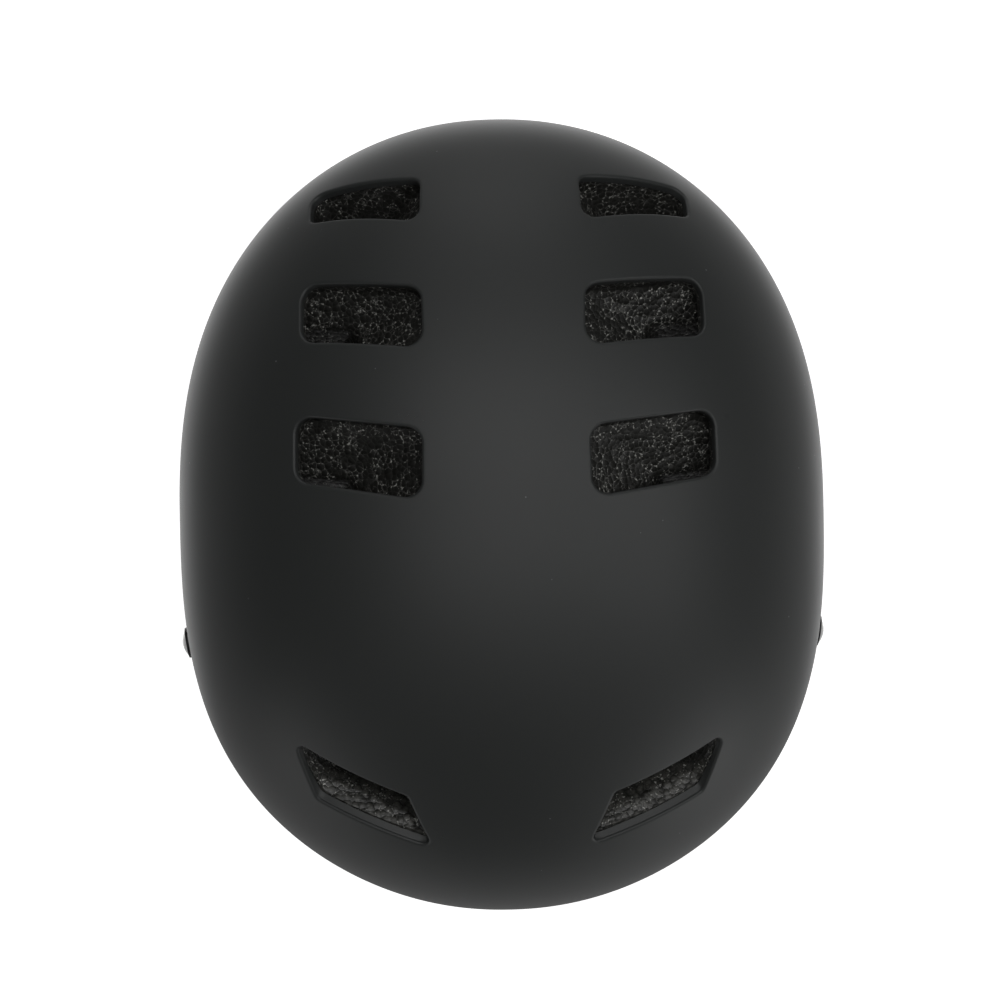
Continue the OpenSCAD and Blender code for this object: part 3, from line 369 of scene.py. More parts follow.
class Skin:
    # a dome layer as a grid of angles and rows, with cells left out round each vent
    def __init__(self, axes, columns, domeRows, skirtRows, rise, thinning, reshape=None):
        self.axes, self.rise, self.thinning, self.reshape = axes, rise, thinning, reshape
        self.columns, self.rows = columns, domeRows + skirtRows
        self.u = np.concatenate([np.arange(1, domeRows + 1) / domeRows,
                                 1 + np.arange(1, skirtRows + 1) / skirtRows])
        self.a = 2 * np.pi * np.arange(columns) / columns
        self.keep = np.ones((self.rows - 1, columns), bool)
        middle = (self.u[1:] + self.u[:-1]) / 2
        self.middle = self.point(self.a + np.pi / columns, middle[:, None])

    def point(self, a, u):
        p = skinPoint(a, u, self.axes, self.rise, self.thinning)
        return self.reshape(p) if self.reshape else p

    def at(self, ring):
        return self.point(self.a[ring[1]], self.u[ring[0]])

    def cut(self, loop, n):
        # leaves out the cells inside a loop or near it; the rows and columns once round them
        centre = loop.mean(0)
        e1 = unit(np.cross(n, loop[0] - centre))
        e2 = np.cross(n, e1)
        p, q = loop - centre, self.middle - centre
        turn, around = np.arctan2(p @ e2, p @ e1), np.arctan2(q @ e2, q @ e1)
        radius = np.interp(around, turn, np.hypot(p @ e1, p @ e2), period=2 * np.pi)
        out = np.hypot(q @ e1, q @ e2) < radius + ventShape["reach"]
        out &= abs(q @ n) < ventShape["depth"]
        self.keep &= ~out
        i, j = np.nonzero(out)
        w, far = self.columns, (self.rows + 1) * self.columns
        step = np.full(far, -1)
        out = np.pad(out, ((1, 1), (0, 0)))
        for di, dj, a, b in ((-1, 0, (0, 0), (0, 1)), (0, 1, (0, 1), (1, 1)),
                             (1, 0, (1, 1), (1, 0)), (0, -1, (1, 0), (0, 0))):
            rim = ~out[i + 1 + di, (j + dj) % w]
            start = (i[rim] + a[0]) * w + (j[rim] + a[1]) % w
            step[start] = (i[rim] + b[0]) * w + (j[rim] + b[1]) % w
        count = (step >= 0).sum()
        ring, jump = np.nonzero(step >= 0)[0][:1], step
        while len(ring) < count:  # the steps once round, in doubling strides
            ring = np.concatenate([ring, jump[ring]])
            jump = jump[jump]
        return ring[:count] // w, ring[:count] % w

    def patch(self, loop, ring):
        # rings that blend from a loop on the layer to the cells left standing round it
        rows, columns = ring
        a, u = toSkin(loop, self.axes)
        count = ventShape["patchRings"]
        t = (np.arange(count) / count)[1:, None] ** ventShape["easing"]
        turn = (self.a[columns] - a + np.pi) % (2 * np.pi) - np.pi
        return self.point(a + t * turn, u + t * (self.u[rows] - u))


def inTurn(p, side):
    # falling angles once round a vent, mirrored on the left, evened out so that no step is nil
    phi = np.unwrap(np.arctan2(side * p[:, 1], p[:, 0]))
    phi = np.maximum(np.minimum.accumulate(phi), phi[0] - 2 * np.pi)
    step = phi - np.append(phi[1:], phi[0] - 2 * np.pi)
    step = sum(np.roll(step, k) for k in range(-3, 4)) / 7 + 1e-4
    start = phi[0] + (phi - phi[0] + np.cumsum(step) - step).mean()
    return start - (np.cumsum(step) - step) * 2 * np.pi / step.sum()


def walledDome(outer, inner, vented, lip):
    # two skins joined down through each vent and by a lip round the rim: its drop, its rings
    # and the power of the sine that shapes it
    points, faces, base = [], [], 0
    corner = {}
    drop, count, power = lip
    for skin, flip in ((outer, False), (inner, True)):
        a, u = np.meshgrid(skin.a, skin.u)
        grid = skin.point(a, u).reshape(-1, 3)
        pole = np.array([[0, 0, skin.axes[3]]])
        cells = gridFaces(skin.rows, skin.columns, wrapColumns=True, start=base)
        cells = cells[skin.keep.ravel()]
        j = np.arange(skin.columns)
        fan = np.stack([0 * j + base + len(grid), base + j, base + (j + 1) % skin.columns], -1)
        faces += [cells[:, ::-1], fan[:, ::-1]] if flip else [cells, fan]
        corner[skin] = base
        points += [grid, pole]
        base += len(grid) + 1

    def strip(first, rings, last):
        # cells over rings of new points, from a ring that is there and on to another
        nonlocal base
        n = len(last if first is None else first)
        rings = np.array(rings).reshape(-1, 3)
        rows = [base + k * n + np.arange(n) for k in range(len(rings) // n)]
        rows = [r for r in (first, *rows, last) if r is not None]
        points.append(rings)
        base += len(rings)
        p, q = np.array(rows[:-1]), np.array(rows[1:])
        cells = np.stack([p, q, np.roll(q, -1, 1), np.roll(p, -1, 1)], -1)
        faces.append(cells.reshape(-1, 4))
        return rows[0], rows[-1]

    for hole in vented:
        known = [corner[skin] + hole[part][0] * skin.columns + hole[part][1]
                 for skin, part in ((outer, "outer"), (inner, "inner"))]
        if "turns" in hole:
            above = strip(known[0], hole["upper"], None)[1]
            below = strip(None, hole["lower"], known[1])[0]
            faces.append(zipped(above, below, *hole["turns"]))
        else:
            strip(known[0], hole["upper"], known[1])
    first, last = (s.point(s.a, s.u[-1] + 0 * s.a) for s in (outer, inner))
    rim = [(first + last) / 2 + (first - last) / 2 * math.cos(t)
           - [0, 0, drop * math.sin(t) ** power] for t in np.linspace(0, np.pi, count)[1:-1]]
    ends = [corner[s] + (s.rows - 1) * s.columns + np.arange(s.columns) for s in (outer, inner)]
    strip(ends[0], rim, ends[1])
    return arrayMesh(np.concatenate(points), faces)


def zipped(p, q, pTurn, qTurn):
    # triangles between two rings of unequal count whose angles fall as they go round
    full = 2 * np.pi
    a, b = pTurn[0] - pTurn, (pTurn[0] - qTurn) % full
    first = int(np.argmin(b))
    q, b = np.roll(q, -first), np.roll(b, -first)
    aNext, bNext = np.append(a[1:], full), np.append(b[1:], b[0] + full)
    order = np.argsort(np.concatenate([a + aNext, b + bNext]), kind="stable")
    onP = order < len(p)
    i, j = np.cumsum(onP) - onP, np.cumsum(~onP) - ~onP
    i0, j0, i1, j1 = i % len(p), j % len(q), (i + 1) % len(p), (j + 1) % len(q)
    return np.stack([p[i0], q[j0], np.where(onP, p[i1], q[j1])], -1)


shellBuild = {"columns": 400, "rows": (74, 26), "rise": 0.9, "lip": (1.8, 7, 1)}


def shellPiece():
    b = shellBuild
    outer, inner = (Skin(layers[name], b["columns"], *b["rows"], b["rise"], 0)
                    for name in ("shell", "under"))
    vented = []
    for vent, side, (origin, e1, e2, n) in eachVent():

        def ring(gap, phi, axes, depth=0, draft=0):
            flat = outlineAt(vent, gap, phi)
            flat = flat + raised(vent, flat, draft)
            start = origin + flat[:, :1] * e1 + flat[:, 1:] * e2
            return lineMeets(start, np.tile(n, (len(start), 1)), axes) - depth * n

        r = ventShape["edgeRadius"]
        hole = outer.cut(ring(r, oneTurn, outer.axes), n)
        edge = outer.at(hole) - origin
        phi = side * inTurn(np.stack([edge @ e1, edge @ e2], -1), side)
        first = ring(r, phi, outer.axes)
        last = ring(0, phi, inner.axes, 0, vent.get("draft", 0))
        rings = [outer.patch(first, hole)[::-1].reshape(-1, 3)]
        for t in np.linspace(0, np.pi / 2, ventShape["edgeRings"]):
            rings.append(ring(r * (1 - math.sin(t)), phi, outer.axes, r * (1 - math.cos(t))))
        wall = rings[-1]
        for t in np.arange(1, ventShape["wallRings"]) / ventShape["wallRings"]:
            rings.append(wall * (1 - t) + last * t)
        rings += [last, inner.patch(last, hole).reshape(-1, 3)]
        vented.append({"outer": hole, "inner": hole, "upper": np.concatenate(rings)})
    inner.keep = outer.keep
    return walledDome(outer, inner, vented, b["lip"])


def shellFinish():
    # satin moulded plastic: faint grain, soft cloudiness and a few specks of dust
    dark, pale = (0.034, 0.0365, 0.0358), (0.25, 0.26, 0.26)
    f = Finish("satinShell", dark, 0.5)
    grain, cloud = f.noise(0.55, 3), f.noise(45, 3)
    dust = 1 - f.cells(11).between(0.018, 0.03)
    return f.set(Base_Color=f.mix(dust * 0.5, dark, pale),
                 Roughness=0.45 + cloud * 0.06 + grain * 0.04, Normal=f.bump(grain, 0.012))


shell = addPiece("shell", shellPiece(), shellFinish(), "shell", name="hardShell")
print("shell", len(shell.data.polygons), "faces")


# Strap routes behind the shell: rivet and rim as angle and height, entry angle into the
# divider, layer and end inside it
routes = {"front": {"rivet": (68.4, -50), "rim": (70.3, -106), "entry": -10, "layer": 1, "end": 1},
          "rear": {"rivet": (118, -95), "rim": (111, -106), "entry": 52, "layer": -1, "end": 5}}
strap = {"width": 15, "thick": 1.4, "play": 0.5, "pastRivet": 7, "step": 1.2, "chinStep": 0.7}


def normalOf(surface, a, z, *more):
    # square to the differences of a surface over h either way
    h = 0.001
    return unit(np.cross(surface(a + h, z, *more) - surface(a - h, z, *more),
                         surface(a, z + h, *more) - surface(a, z - h, *more)))


def alongSkirt(route, t):
    # straight in angle and height from above the rivet to the rim
    (a0, z0), (a1, z1) = route["rivet"], route["rim"]
    z0 = z0 + strap["pastRivet"]
    return np.radians(a0 + (a1 - a0) * t), z0 + (z1 - z0) * t


def nearest(points, line):
    return np.sqrt(((points[..., None, :] - line) ** 2).sum(-1).min(-1))


# Foam liner. bends: how far along a duct its four stations lie, and split where its lines
# change in number; channel and pocket: outer and flat half width and depth behind the straps
# and the rivets
linerBuild = {"columns": 300, "outerRows": (44, 18), "innerRows": (40, 20), "outerRise": 3,
              "innerRise": 8, "thinning": 11, "lip": (4, 9, 0.7), "ductRings": 51,
              "bends": (0, 0.14, 0.6, 1), "split": 0.7, "easing": 3, "throatEdge": 1.6,
              "channel": (10, 8.2, 3.2), "pocket": (9.5, 8, 5.3)}


def linerPiece():
    b = linerBuild
    sides = np.array([[1, 1, 1], [-1, 1, 1]])[:, None]

    def bothSides(places):
        # points of the foam's skin on the left and on the right
        return np.concatenate([(sides * layerPoint(a, z, layers["foam"])).reshape(-1, 3)
                               for a, z in places])

    steps = np.linspace(-0.2, 1.3, 60)
    channels = bothSides(alongSkirt(route, steps) for route in routes.values())
    pockets = bothSides((np.radians(a), z) for a, z in (r["rivet"] for r in routes.values()))

    def pushIn(p):
        # the skirt steps in behind the straps and, deeper, behind the rivets
        away = np.stack([p[..., 0], p[..., 1], 0 * p[..., 0]], -1)
        deep = 0
        for line, (wide, flat, depth) in ((channels, b["channel"]), (pockets, b["pocket"])):
            deep = np.maximum(deep, depth * (1 - ease(nearest(p, line), flat, wide)))
        return p - unit(away) * deep[..., None]

    outer = Skin(layers["foam"], b["columns"], *b["outerRows"], b["outerRise"], 0, pushIn)
    inner = Skin(layers["cavity"], b["columns"], *b["innerRows"], b["innerRise"], b["thinning"])
    vented = []
    for vent, side, (origin, e1, e2, n) in eachVent():

        def shares(depth):
            lean, narrow = (np.interp(depth, duct["depth"], duct[k])[..., None]
                            for k in ("lean", "narrow"))
            return lean * vent["lean"], 1 - narrow * (1 - np.array(duct["throat"]))

        def station(phi, depth):
            shift, scale = shares(np.array(depth))
            flat = outlineAt(vent, ventShape["mouthGap"], phi)
            ledge = vent.get("ledge", 0) * min(depth / duct["depth"][0], 1)
            flat = flat * scale + shift + raised(vent, flat, ledge)
            return origin + flat[:, :1] * e1 + flat[:, 1:] * e2 - depth * n

        def meets(phi, skin):
            # where the straight start or end of the duct's lines meets a skin
            depths = duct["depth"]
            p, q = (station(phi, d) for d in (depths[1:] if skin is inner else (0, depths[0])))
            return lineMeets(p, unit(q - p), skin.axes)

        def turnsOf(skin, hole):
            # angles at the mouth of the duct's lines through a ring of points
            p = skin.at(hole) - origin
            shift, scale = shares(-(p @ n))
            return inTurn((np.stack([p @ e1, p @ e2], -1) - shift) / scale, side)

        def tubeOf(phi):
            # rings from skin to skin: straight between the stations, eased, its end flared out
            bends = np.array([meets(phi, outer), *(station(phi, d) for d in duct["depth"][:2]),
                              meets(phi, inner)])
            k = np.clip(np.searchsorted(b["bends"], t, "right") - 1, 0, len(bends) - 2)
            f = ((t - np.array(b["bends"])[k]) / np.diff(b["bends"])[k])[:, None, None]
            tube = bends[k] * (1 - f) + bends[k + 1] * f
            for turn in range(b["easing"]):
                tube[1:-1] = (tube[:-2] + 2 * tube[1:-1] + tube[2:]) / 4
            fall = np.linalg.norm(tube - bends[-1], axis=-1).mean(1)[:, None, None]
            return tube + (unit(tube - tube.mean(1, keepdims=True)) * b["throatEdge"]
                           * np.exp(-fall / b["throatEdge"]))

        t = np.linspace(0, 1, b["ductRings"])
        holes = [skin.cut(meets(oneTurn, skin), n) for skin in (outer, inner)]
        turns = [turnsOf(skin, hole) for skin, hole in zip((outer, inner), holes)]
        early = t < b["split"] - 1e-9
        upper, lower = tubeOf(side * turns[0])[early], tubeOf(side * turns[1])[~early]
        upper = [outer.patch(upper[0], holes[0])[::-1], upper]
        lower = [lower, inner.patch(lower[-1], holes[1])]
        vented.append({"outer": holes[0], "inner": holes[1], "turns": turns,
                       "upper": np.concatenate([part.reshape(-1, 3) for part in upper]),
                       "lower": np.concatenate([part.reshape(-1, 3) for part in lower])})
    return walledDome(outer, inner, vented, b["lip"])


# bead: size of a bead in millimetres; wobble: how often and how far in metres their seams stray;
# front: between these y, in metres, the front ducts' beads with painted light on them give way to
# the others
foam = {"bead": 1.95, "wobble": (500, 0.0005), "front": (-0.09, -0.08)}


def foamFinish():
    # expanded beads: dark faces, thin paler seams between them, a few painted highlights as glints
    # and painted light on the front ducts' beads
    f = Finish("beadedFoam", (0.009, 0.009, 0.008), 0.55, Specular_IOR_Level=0.65)
    often, far = foam["wobble"]
    wobble = f.node("ShaderNodeTexNoise", None, {"Vector": f.place(), "Scale": often}, 1)
    wobble = f.node("ShaderNodeVectorMath", {"operation": "SCALE"}, {0: wobble, "Scale": far})
    where = f.node("ShaderNodeVectorMath", {"operation": "ADD"}, (f.place(), wobble))
    edge, bead = (f.cells(foam["bead"], kind, where) for kind in ("DISTANCE_TO_EDGE", "F1"))
    tone, patchy = f.noise(0.7, 3), f.noise(4, 3)
    seam = (1 - edge.between(0.02, 0.08)) * (patchy.between(0.38, 0.66) * 0.85 + 0.15)
    # painted highlight: white glints painted into the colour on a few bead edges
    paintedGlint = tone.between(0.56, 0.68) * edge.between(0.2, 0.06) * patchy.between(0.4, 0.58)
    colour = f.mix(tone.between(0.3, 0.7), (0.006, 0.006, 0.0048), (0.014, 0.014, 0.0115))
    # painted light: the front ducts' beads are painted paler where light falls on the floor of
    # those ducts, and made smoother
    front = 1 - f.axis(f.place(), 1).between(*foam["front"])
    colour = f.mix(front * bead.between(0.75, 0.2), colour, (0.075, 0.074, 0.066))
    colour = f.mix(seam, colour, (0.105, 0.105, 0.097))
    return f.set(Base_Color=f.mix(paintedGlint, colour, (0.62, 0.62, 0.58)),
                 Roughness=0.38 + tone * 0.25 - front * 0.1,
                 Normal=f.bump(1 - bead * bead, 0.35, f.bump(tone, 0.1)))


liner = addPiece("liner", linerPiece(), foamFinish(), "foam", name="foamLiner")
print("liner", len(liner.data.polygons), "faces")


# Moulded and metal parts: copies of the solids with softened edges

def mouldedFinish(name, colour, roughness, grain=0.02, **more):
    # injection-moulded plastic: fine spark-eroded grain and slow changes of gloss
    f = Finish(name, colour, roughness, **more)
    fine, slow = f.noise(0.35, 3, 0.6), f.noise(14, 2)
    pale = tuple(c * 1.5 for c in colour)
    return f.set(Base_Color=f.mix(slow.between(0.3, 0.7) * 0.35, colour, pale),
                 Roughness=roughness - 0.05 + slow * 0.08 + fine * 0.06,
                 Normal=f.bump(fine, grain))


def steelFinish(name, colour, roughness):
    # plated steel: faint tumbling marks and fine scratches
    f = Finish(name, colour, roughness, Metallic=1.0)
    cloud = f.noise(1.6, 4, 0.6)
    marks = f.noise(0.5, 2, where=f.place((1, 6, 1), turn=(0.4, 0.7, 0)))
    dull = tuple(c * 0.62 for c in colour)
    return f.set(Base_Color=f.mix(cloud.between(0.35, 0.75) * 0.5, colour, dull),
                 Roughness=roughness - 0.06 + cloud * 0.16 + marks * 0.06,
                 Normal=f.bump(marks, 0.006))


nylon = mouldedFinish("blackNylon", (0.016, 0.0165, 0.017), 0.4)
dialNylon = mouldedFinish("dialNylon", (0.022, 0.0225, 0.0235), 0.46, 0.03)
rubber = mouldedFinish("strapRubber", (0.014, 0.014, 0.014), 0.62, 0.03)
plated = steelFinish("platedSteel", (0.62, 0.62, 0.61), 0.3)
springSteel = steelFinish("springSteel", (0.5, 0.5, 0.5), 0.26)


def softened(node, radius, body="root", finish=nylon, slotName="moulding"):
    # merged copy of a node, its flat faces whole again and its edges rounded
    mesh = nodes[node].data.copy()
    shape = bmesh.new()
    shape.from_mesh(mesh)
    bmesh.ops.remove_doubles(shape, verts=shape.verts, dist=1e-6)
    bmesh.ops.dissolve_limit(shape, angle_limit=math.radians(0.6), verts=shape.verts,
                             edges=shape.edges)
    shape.to_mesh(mesh)
    shape.free()
    if "custom_normal" in mesh.attributes:
        mesh.attributes.remove(mesh.attributes["custom_normal"])
    bevel = addPiece(node, mesh, finish, slotName, body, 180).modifiers.new("edges", "BEVEL")
    bevel.width, bevel.segments = radius * mm, 2
    bevel.limit_method, bevel.angle_limit = "ANGLE", math.radians(28)
    bevel.miter_outer, bevel.harden_normals = "MITER_ARC", True


# node, where "both" stands for the left and the right, and radius; then body, finish and slot
copies = [
    ("both_divider", 0.6), ("both_lock_lever", 0.35, "both_lock_lever"),
    ("both_lever_pin", 0.2, "root", plated, "steel"), ("buckle_socket", 0.6),
    ("buckle_plug", 0.5, "buckle_plug"), ("buckle_arms", 0.35, "buckle_plug"),
    ("strap_keeper", 0.5, "buckle_plug", rubber, "rubber"), ("dial_housing", 0.4),
    ("dial_cover", 0.4), ("dial_knob", 0.45, "dial", dialNylon, "dial_grip"),
    ("dial_pinion", 0.12, "dial"), ("knob_screw", 0.2, "dial", plated, "steel"),
    ("click_spring", 0.08, "root", springSteel, "steel"),
    ("housing_screws", 0.15, "root", plated, "steel"), ("both_rack", 0.12, "both_rack"),
    ("temple_anchors", 0.5), ("cradle_hanger", 0.35), ("hanger_pins", 0.45),
    ("hook_dots", 0.15, "root", nylon, "hook_tape")]
for node, radius, body, *look in (c if len(c) > 2 else (*c, "root") for c in copies):
    for side in ("left", "right") if "both" in node else ("",):
        softened(node.replace("both", side), radius, body.replace("both", side), *look)
print("moulded and metal parts", len(copies))


# Rivets: lathe profiles set on the shell

rivet = {"head": 9.0, "rise": 1.5, "washer": 10.6, "washerThick": 1.0, "barrel": 5.0,
         "behind": 5.1, "backing": 13.0, "backingThick": 1.0, "tail": 7.5, "tailThick": 1.2,
         "steps": 72}


def onSkin(a, z, axes, side=1):
    # point of a layer and its frame: round the helmet, up and outwards
    p, n = layerPoint(a, z, axes), normalOf(layerPoint, a, z, axes)
    e1 = unit(np.cross([0, 0, 1], n))
    flip = mirrored(side)
    return p * flip, e1 * flip * side, np.cross(n, e1) * flip, n * flip


def lathe(profile, places):
    # a closed profile of radius and height turned round the normal at every place
    points, faces, steps = [], [], rivet["steps"]
    t = 2 * np.pi * np.arange(steps)[:, None] / steps
    r, h = np.array(profile, float).T[..., None, None]
    for p, e1, e2, n in places:
        faces.append(gridFaces(len(r), steps, True, True, len(points) * len(r) * steps))
        points.append((p + r * (np.cos(t) * e1 + np.sin(t) * e2) + h * n).reshape(-1, 3))
    return arrayMesh(np.concatenate(points), faces)


def addRivets():
    r = rivet
    places = [onSkin(math.radians(route["rivet"][0]), route["rivet"][1], layers["shell"], side)
              for route in routes.values() for side in (1, -1)]
    # the head is a ball's cap with a rounded rim, and the tail is rolled over at the back
    seat, head, bar = r["washerThick"] + 0.05, r["head"] / 2, r["barrel"] / 2
    top = seat + r["rise"]
    ball = (head ** 2 + r["rise"] ** 2) / (2 * r["rise"])
    cap = [(max(ball * math.sin(x), 0.001), top - ball + ball * math.cos(x))
           for x in np.linspace(0, math.asin((head - 0.25) / ball), 14)]
    rim = [(head - 0.02, seat + (cap[-1][1] - seat) * 0.55), (head - 0.12, seat + 0.06),
           (head - 0.3, seat)]
    back, tail = -r["behind"] - r["backingThick"] - 0.05, r["tail"] / 2
    end = back - r["tailThick"]
    stem = [(bar, seat), (bar, back), (tail - 0.2, back), (tail, back - 0.3),
            (tail - 0.1, end + 0.3), (tail - 0.6, end), (1.6, end), (1.2, back - 0.5),
            (0.001, back - 0.4)]
    hole, w, t = bar + 0.1, r["washer"] / 2, r["washerThick"]
    washer = [(hole, t), *[(w - 0.2 + 0.2 * math.sin(x), t - 0.2 + 0.2 * math.cos(x))
                           for x in np.linspace(0, math.pi / 2, 4)], (w, 0.02), (hole, 0.02)]
    b, w, t = -r["behind"], r["backing"] / 2, r["backingThick"]
    backing = [(hole, b), (w - 0.15, b), (w, b - 0.15), (w, b - t + 0.15), (w - 0.15, b - t),
               (hole, b - t)]
    for node, profile, finish, slotName in (
            ("strap_rivets", cap + rim + stem, plated, "steel"),
            ("rivet_washers", washer, nylon, "moulding"),
            ("backing_washers", backing, plated, "steel")):
        addPiece(node, lathe(profile, places), finish, slotName)


addRivets()
print("rivets")


# Webbing and bands: a superellipse section swept along a path

def arcLength(path):
    return np.concatenate([[0], np.cumsum(np.linalg.norm(np.diff(path, axis=0), axis=1))])


def ribbonMesh(path, normals, wide, thick, section=32, square=9.0, edge=2.6):
    # the section's width lies to the path's side and its thickness on the normal; the map holds
    # the length along the path and the place across it, in metres
    along = np.gradient(path, axis=0)
    side = unit(np.cross(along, normals))
    lift = unit(np.cross(side, along))
    t = 2 * np.pi * np.arange(section) / section
    x = wide / 2 * np.sign(np.cos(t)) * abs(np.cos(t)) ** (2 / square)
    y = thick / 2 * np.sign(np.sin(t)) * abs(np.sin(t)) ** (2 / edge)
    points = path[:, None] + x[None, :, None] * side[:, None] + y[None, :, None] * lift[:, None]
    n = len(path)
    faces = [gridFaces(n, section, False, True), np.arange(section)[None],
             ((n - 1) * section + np.arange(section))[None, ::-1]]
    mesh = arrayMesh(points.reshape(-1, 3), faces)
    far = arcLength(path)[:, None]
    uv = np.stack([far + 0 * x, 0 * far + x], -1).reshape(-1, 2) * mm
    corner = np.zeros(len(mesh.loops), np.int32)
    mesh.loops.foreach_get("vertex_index", corner)
    mesh.uv_layers.new(name="weave").data.foreach_set("uv", uv[corner].astype(np.float32).ravel())
    return mesh


def evenly(path, step, *others):
    # points of a line at even steps, with anything else that runs along it
    far = arcLength(path)
    at = np.linspace(0, far[-1], int(far[-1] / step) + 1)
    return [np.stack([np.interp(at, far, c) for c in v.T], -1) for v in (path, *others)]


def rounded(path, reach):
    # a running mean that keeps both ends, twice, to ease the corners of a line
    for turn in range(2):
        long = np.concatenate([2 * path[0] - path[reach:0:-1], path,
                               2 * path[-1] - path[-2:-2 - reach:-1]])
        total = np.cumsum(np.concatenate([0 * long[:1], long]), axis=0)
        path = (total[2 * reach + 1:] - total[:-2 * reach - 1]) / (2 * reach + 1)
    return path


def bezier(p, t):
    t = t[:, None]
    return ((1 - t) ** 3 * p[0] + 3 * t * (1 - t) ** 2 * p[1] + 3 * t ** 2 * (1 - t) * p[2]
            + t ** 3 * p[3])


# reach: from the middle of a divider to where the webbing enters; gap: between its two layers
divider = {"at": (82, -30, -160), "lean": 20, "reach": 20, "gap": 0.3}
lean = math.radians(divider["lean"])
dividerUp = np.array([math.sin(lean), 0, math.cos(lean)])
dividerOut = np.array([math.cos(lean), 0, -math.sin(lean)])
layerOffset = (strap["thick"] + divider["gap"]) / 2


def inDivider(x, y, z):
    return divider["at"] + x * np.array([0.0, 1, 0]) + y * dividerUp + z * dividerOut


# woven polyester in millimetres: width of a column, pitch and slope of its threads, where the
# selvedge begins and the pitch of its picks
weave = {"column": 1.25, "pitch": 0.85, "slope": 0.8, "selvedge": (6.0, 6.4), "pick": 0.6}


def alongStrap(f):
    # how far along and across a strap, in millimetres
    return (f.axis(f.place((1000, 1000, 1000), "UV"), k) for k in (0, 1))


def webbingFinish():
    # herringbone columns along the strap, a plain selvedge and soft fuzz, with painted shade in
    # the grooves between the threads
    f = Finish("blackWebbing", (0.011, 0.011, 0.012), 0.78, Sheen_Weight=0.35,
               Sheen_Roughness=0.5)
    along, across = alongStrap(f)
    column = across / weave["column"] + 20
    inside, whole = column.maths("FRACT"), column.maths("FLOOR")
    odd = whole.maths("MODULO", whole, 2.0)
    thread = along / weave["pitch"] + inside * (odd * 2 - 1) * weave["slope"]
    thread = (thread * math.pi).maths("SINE").maths("ABSOLUTE")
    rib = 1 - (inside * 2 - 1) ** 4.0
    selvedge = across.maths("ABSOLUTE").between(*weave["selvedge"])
    pick = (along * (math.pi / weave["pick"])).maths("SINE").maths("ABSOLUTE")
    height = thread * rib * (1 - selvedge) + pick * selvedge * 0.8
    fuzz, worn = f.noise(0.25, 2), f.noise(7, 2)
    # painted shade: the colour follows the weave's height, darker in the grooves and lighter on
    # the crests, with random fuzz tone
    shade = height * 0.75 + fuzz * 0.25
    return f.set(Base_Color=f.mix(shade.between(0.1, 1.0), (0.006, 0.006, 0.0065),
                                  (0.021, 0.021, 0.0225)),
                 Roughness=0.68 + worn * 0.16, Normal=f.bump(height + fuzz * 0.3, 0.32))


webbing = webbingFinish()


def earWebbing(node, route, flip):
    axes = layers["under"] - strap["play"] - strap["thick"] / 2
    a, z = alongSkirt(route, np.linspace(0, 1, 24))
    skirt, skirtNormal = layerPoint(a, z, axes), normalOf(layerPoint, a, z, axes)
    end, way = skirt[-1], unit(skirt[-1] - skirt[-2])
    r, off = math.radians(route["entry"]), route["layer"] * layerOffset
    reach = divider["reach"]

    def towards(far):
        return inDivider(far * math.sin(r), far * math.cos(r), off)

    entry = towards(reach)
    s = np.linspace(0, 1, 48)[1:]
    free = bezier([end, end + 8 * way, towards(1.4 * reach), entry], s)
    freeNormal = unit(skirtNormal[-1] * (1 - s[:, None]) + dividerOut * s[:, None])
    last = towards(route["end"])
    tail = entry + (last - entry) * np.linspace(0, 1, 10)[1:, None]
    path = np.concatenate([skirt, free, tail])
    normals = np.concatenate([skirtNormal, freeNormal, np.tile(dividerOut, (9, 1))])
    path, normals = evenly(path, strap["step"], normals)
    sides = mirrored(flip)
    mesh = ribbonMesh(rounded(path, 2) * sides, normals * sides, strap["width"], strap["thick"])
    addPiece(node, mesh, webbing, "webbing", "root", 60)


for side, flip in (("left", 1), ("right", -1)):
    for run, route in routes.items():
        earWebbing(f"{side}_{run}_webbing", route, flip)

# along the strap from the buckle or down from a divider, in millimetres: loop and start of the
# webbing in the divider, end of the tail, the four points of the curve up from the keeper, and
# where the bending ends below the divider
buckle = {"at": (43, -30, -215), "dip": 38, "socketBar": -33, "plugBar": 17, "bar": 3.2,
          "keeper": 33, "leftWrap": (-18, -198), "start": -3.3, "loop": -15, "tail": 26,
          "tailPoints": 15, "hang": (6, 24, -62, -17), "blend": -20}
dip = math.radians(buckle["dip"])
buckleAlong = np.array([-math.cos(dip), 0, -math.sin(dip)])
buckleOut = np.array([math.sin(dip), 0, -math.cos(dip)])
mirrorX = mirrored(-1)


def onBuckle(x, z):
    return buckle["at"] + x * buckleAlong + z * buckleOut


def roundBar(x, first, last):
    t = np.radians(np.linspace(first, last, 30))[:, None]
    r = buckle["bar"] / 2 + 0.3 + strap["thick"] / 2
    return onBuckle(x, 0) + r * (np.cos(t) * [1, 0, 0] + np.sin(t) * [0, 0, 1])


def squareTo(path):
    # the normals of a line in its own plane, which faces the front
    way = unit(np.gradient(path, axis=0))
    return np.stack([-way[:, 2], 0 * way[:, 0], way[:, 0]], -1)


def chinWebbing(node, path, body):
    path = rounded(evenly(path, strap["chinStep"])[0], 2)
    mesh = ribbonMesh(path, squareTo(path), strap["width"], strap["thick"])
    return addPiece(node, mesh, webbing, "webbing", body, 60)


